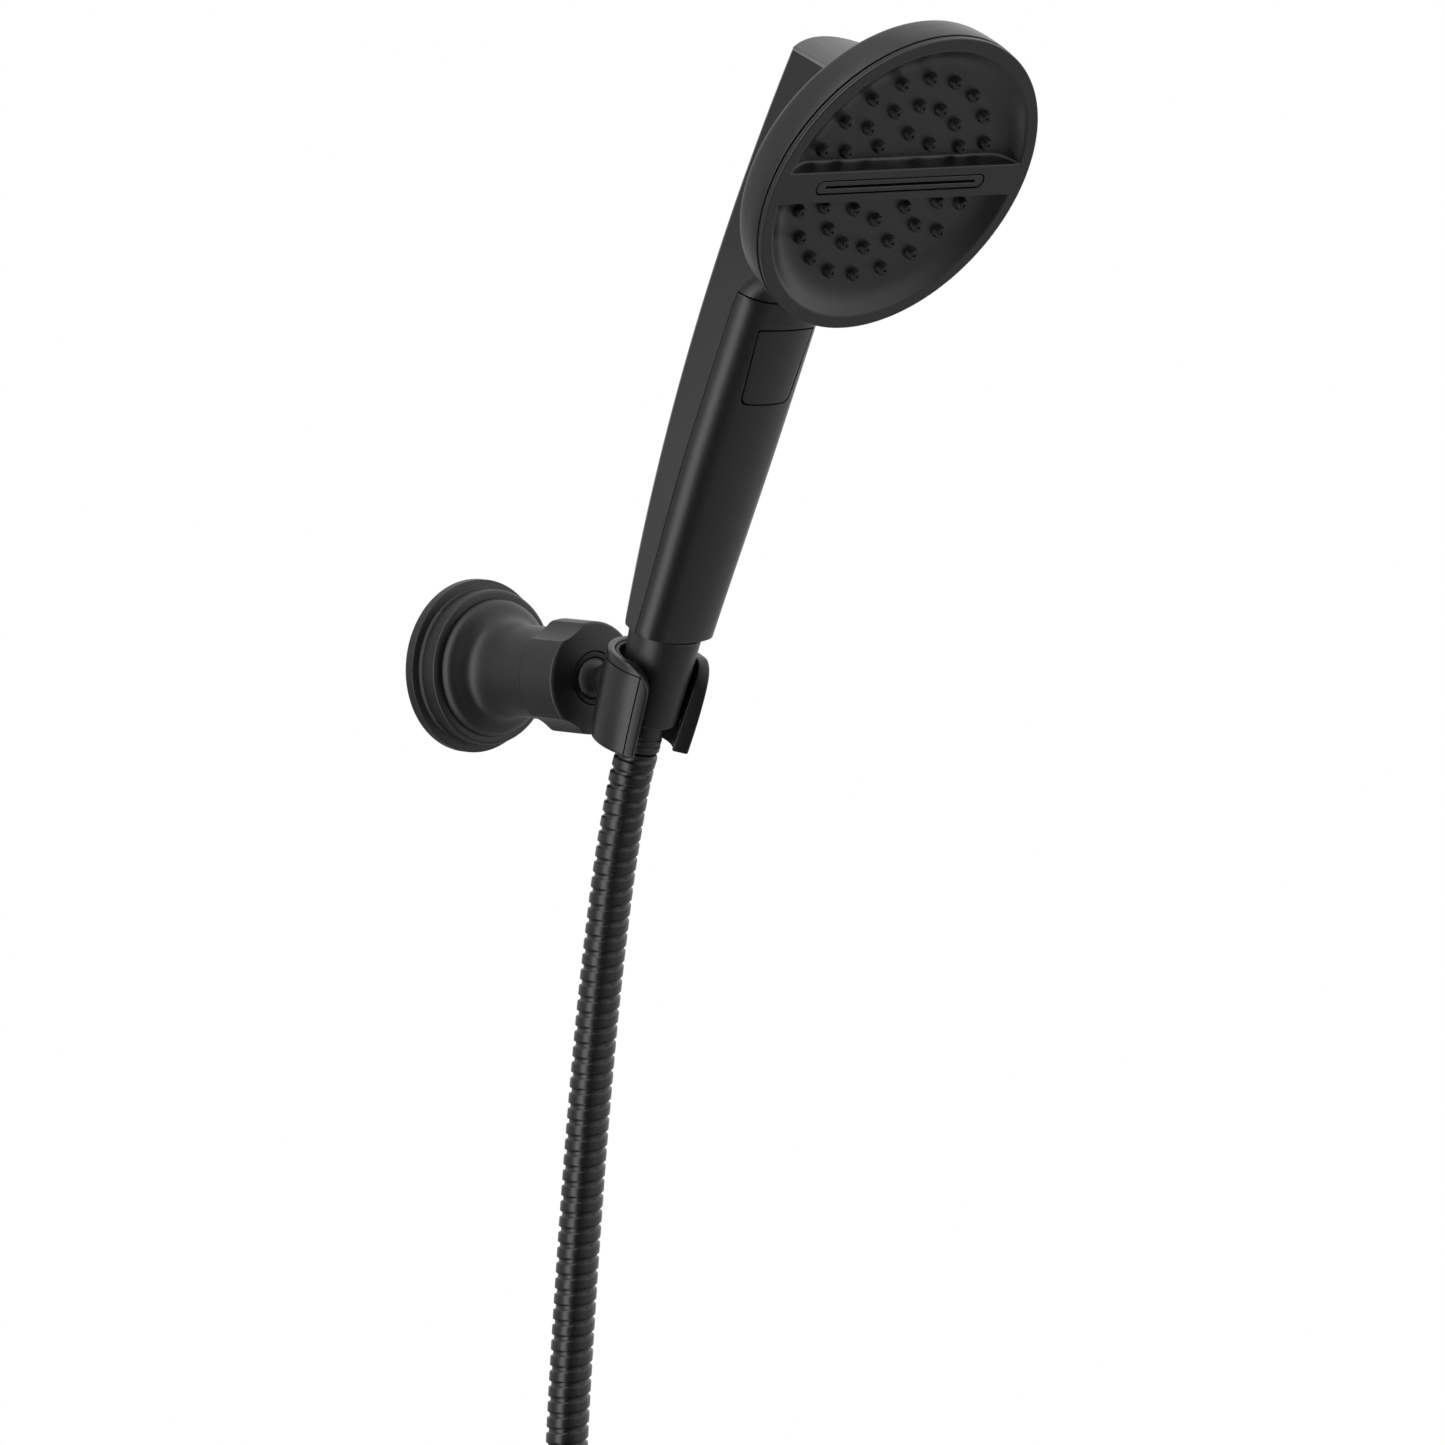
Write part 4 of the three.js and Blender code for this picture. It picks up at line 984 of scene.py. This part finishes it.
# Brightness of the room and of its strip light by level angle, with left of the camera positive.
ROOM = ((-180, 0.7), (-95, 0.8), (-55, 0.75), (-22, 0.34), (0, 0.07), (22, 0.07), (40, 0.35),
        (75, 0.42), (180, 0.5))
STRIP = ((30, 0.0), (42, 3.2), (57, 2.8), (72, 0.0))
STRIP_SCALE = 3.0
ROOM_LOW, ROOM_HIGH = (-0.65, 0.56), (0.2, 1.6)    # (height of the direction, factor on the room)


def angle_ramp(nodes, links, angle, stops, scale):
    """Brightness divided by scale, as a smooth function of the level angle."""
    share = nodes.new("ShaderNodeMapRange")
    share.inputs["From Min"].default_value = -math.pi
    share.inputs["From Max"].default_value = math.pi
    links.new(angle, share.inputs["Value"])
    ramp = nodes.new("ShaderNodeValToRGB")
    ramp.color_ramp.interpolation = "EASE"
    elements = ramp.color_ramp.elements
    while len(elements) < len(stops):
        elements.new(0.5)
    for element, (degrees, value) in zip(elements, stops):
        element.position = (degrees + 180) / 360
        level = value / scale
        element.color = (level, level, level, 1)
    links.new(share.outputs["Result"], ramp.inputs["Fac"])
    return ramp.outputs["Color"]


def joined(nodes, links, operation, a, b):
    """Math node on two sockets or plain values."""
    node = nodes.new("ShaderNodeMath")
    node.operation = operation
    for socket, value in zip(node.inputs, (a, b)):
        if isinstance(value, float):
            socket.default_value = value
        else:
            links.new(value, socket)
    return node.outputs["Value"]


def make_world():
    """White to the eye. The object is lit by a room with a tall strip light at the camera's left,
    darkness behind the camera and a dimmer lower half."""
    world = bpy.data.worlds.new("studio")
    bpy.context.scene.world = world
    world.use_nodes = True
    nodes, links = world.node_tree.nodes, world.node_tree.links
    place = nodes.new("ShaderNodeTexCoord").outputs["Generated"]
    parts = []
    for direction in (VIEW_LEFT, VIEW_SIDE):
        dot = nodes.new("ShaderNodeVectorMath")
        dot.operation = "DOT_PRODUCT"
        dot.inputs[1].default_value = direction
        links.new(place, dot.inputs[0])
        parts.append(dot.outputs["Value"])
    angle = joined(nodes, links, "ARCTAN2", *parts)
    split = nodes.new("ShaderNodeSeparateXYZ")
    links.new(place, split.inputs[0])
    height = nodes.new("ShaderNodeMapRange")
    height.interpolation_type = "SMOOTHSTEP"
    for end, (level, factor) in (("Min", ROOM_LOW), ("Max", ROOM_HIGH)):
        height.inputs["From " + end].default_value = level
        height.inputs["To " + end].default_value = factor
    links.new(split.outputs["Z"], height.inputs["Value"])
    room = joined(nodes, links, "MULTIPLY", angle_ramp(nodes, links, angle, ROOM, 1.0),
                  height.outputs["Result"])
    strip = joined(nodes, links, "MULTIPLY",
                   angle_ramp(nodes, links, angle, STRIP, STRIP_SCALE), STRIP_SCALE)
    light = joined(nodes, links, "ADD", room, strip)
    path = nodes.new("ShaderNodeLightPath").outputs["Is Camera Ray"]
    links.new(joined(nodes, links, "MAXIMUM", light, path), nodes["Background"].inputs["Strength"])
    nodes["Background"].inputs["Color"].default_value = (1, 1, 1, 1)
    world.cycles.sampling_method = "NONE"


def make_floor():
    """Pale studio floor, bright enough to leave no horizon. The room's light comes through it."""
    half, drop = 60, 0.02
    level = CAD_BOX[0][2] - drop
    corners = [(x * half, y * half, level) for x, y in ((-1, -1), (1, -1), (1, 1), (-1, 1))]
    mesh = bpy.data.meshes.new("floor")
    mesh.from_pydata(corners, [], [(0, 1, 2, 3)])
    floor = bpy.data.objects.new("floor", mesh)
    bpy.context.scene.collection.objects.link(floor)
    material = bpy.data.materials.new("floor")
    material.use_nodes = True
    material.cycles.emission_sampling = "NONE"
    nodes, links = material.node_tree.nodes, material.node_tree.links
    mix = nodes.new("ShaderNodeMixShader")
    links.new(nodes.new("ShaderNodeLightPath").outputs["Is Camera Ray"], mix.inputs["Fac"])
    links.new(nodes.new("ShaderNodeBsdfTransparent").outputs["BSDF"], mix.inputs[1])
    links.new(nodes.new("ShaderNodeEmission").outputs["Emission"], mix.inputs[2])
    links.new(mix.outputs["Shader"], nodes["Material Output"].inputs["Surface"])
    mesh.materials.append(material)


def make_studio():
    """World, floor and one large soft lamp overhead."""
    bpy.context.scene.view_settings.view_transform = "Standard"
    make_world()
    make_floor()
    soft_box("overhead", (-0.6, -0.2, 2.2), (0, -0.11, 0.03), (1.6, 1.6), 4)


# ---- assembly ------------------------------------------------------------------------------------

make_camera()
hose, hose_path, hose_length = make_hose()
fitting = end_fitting()
dress_cad_nodes()
make_bracket()
make_cradle()
make_hose_nut()
make_handle()
make_head()
make_studio()
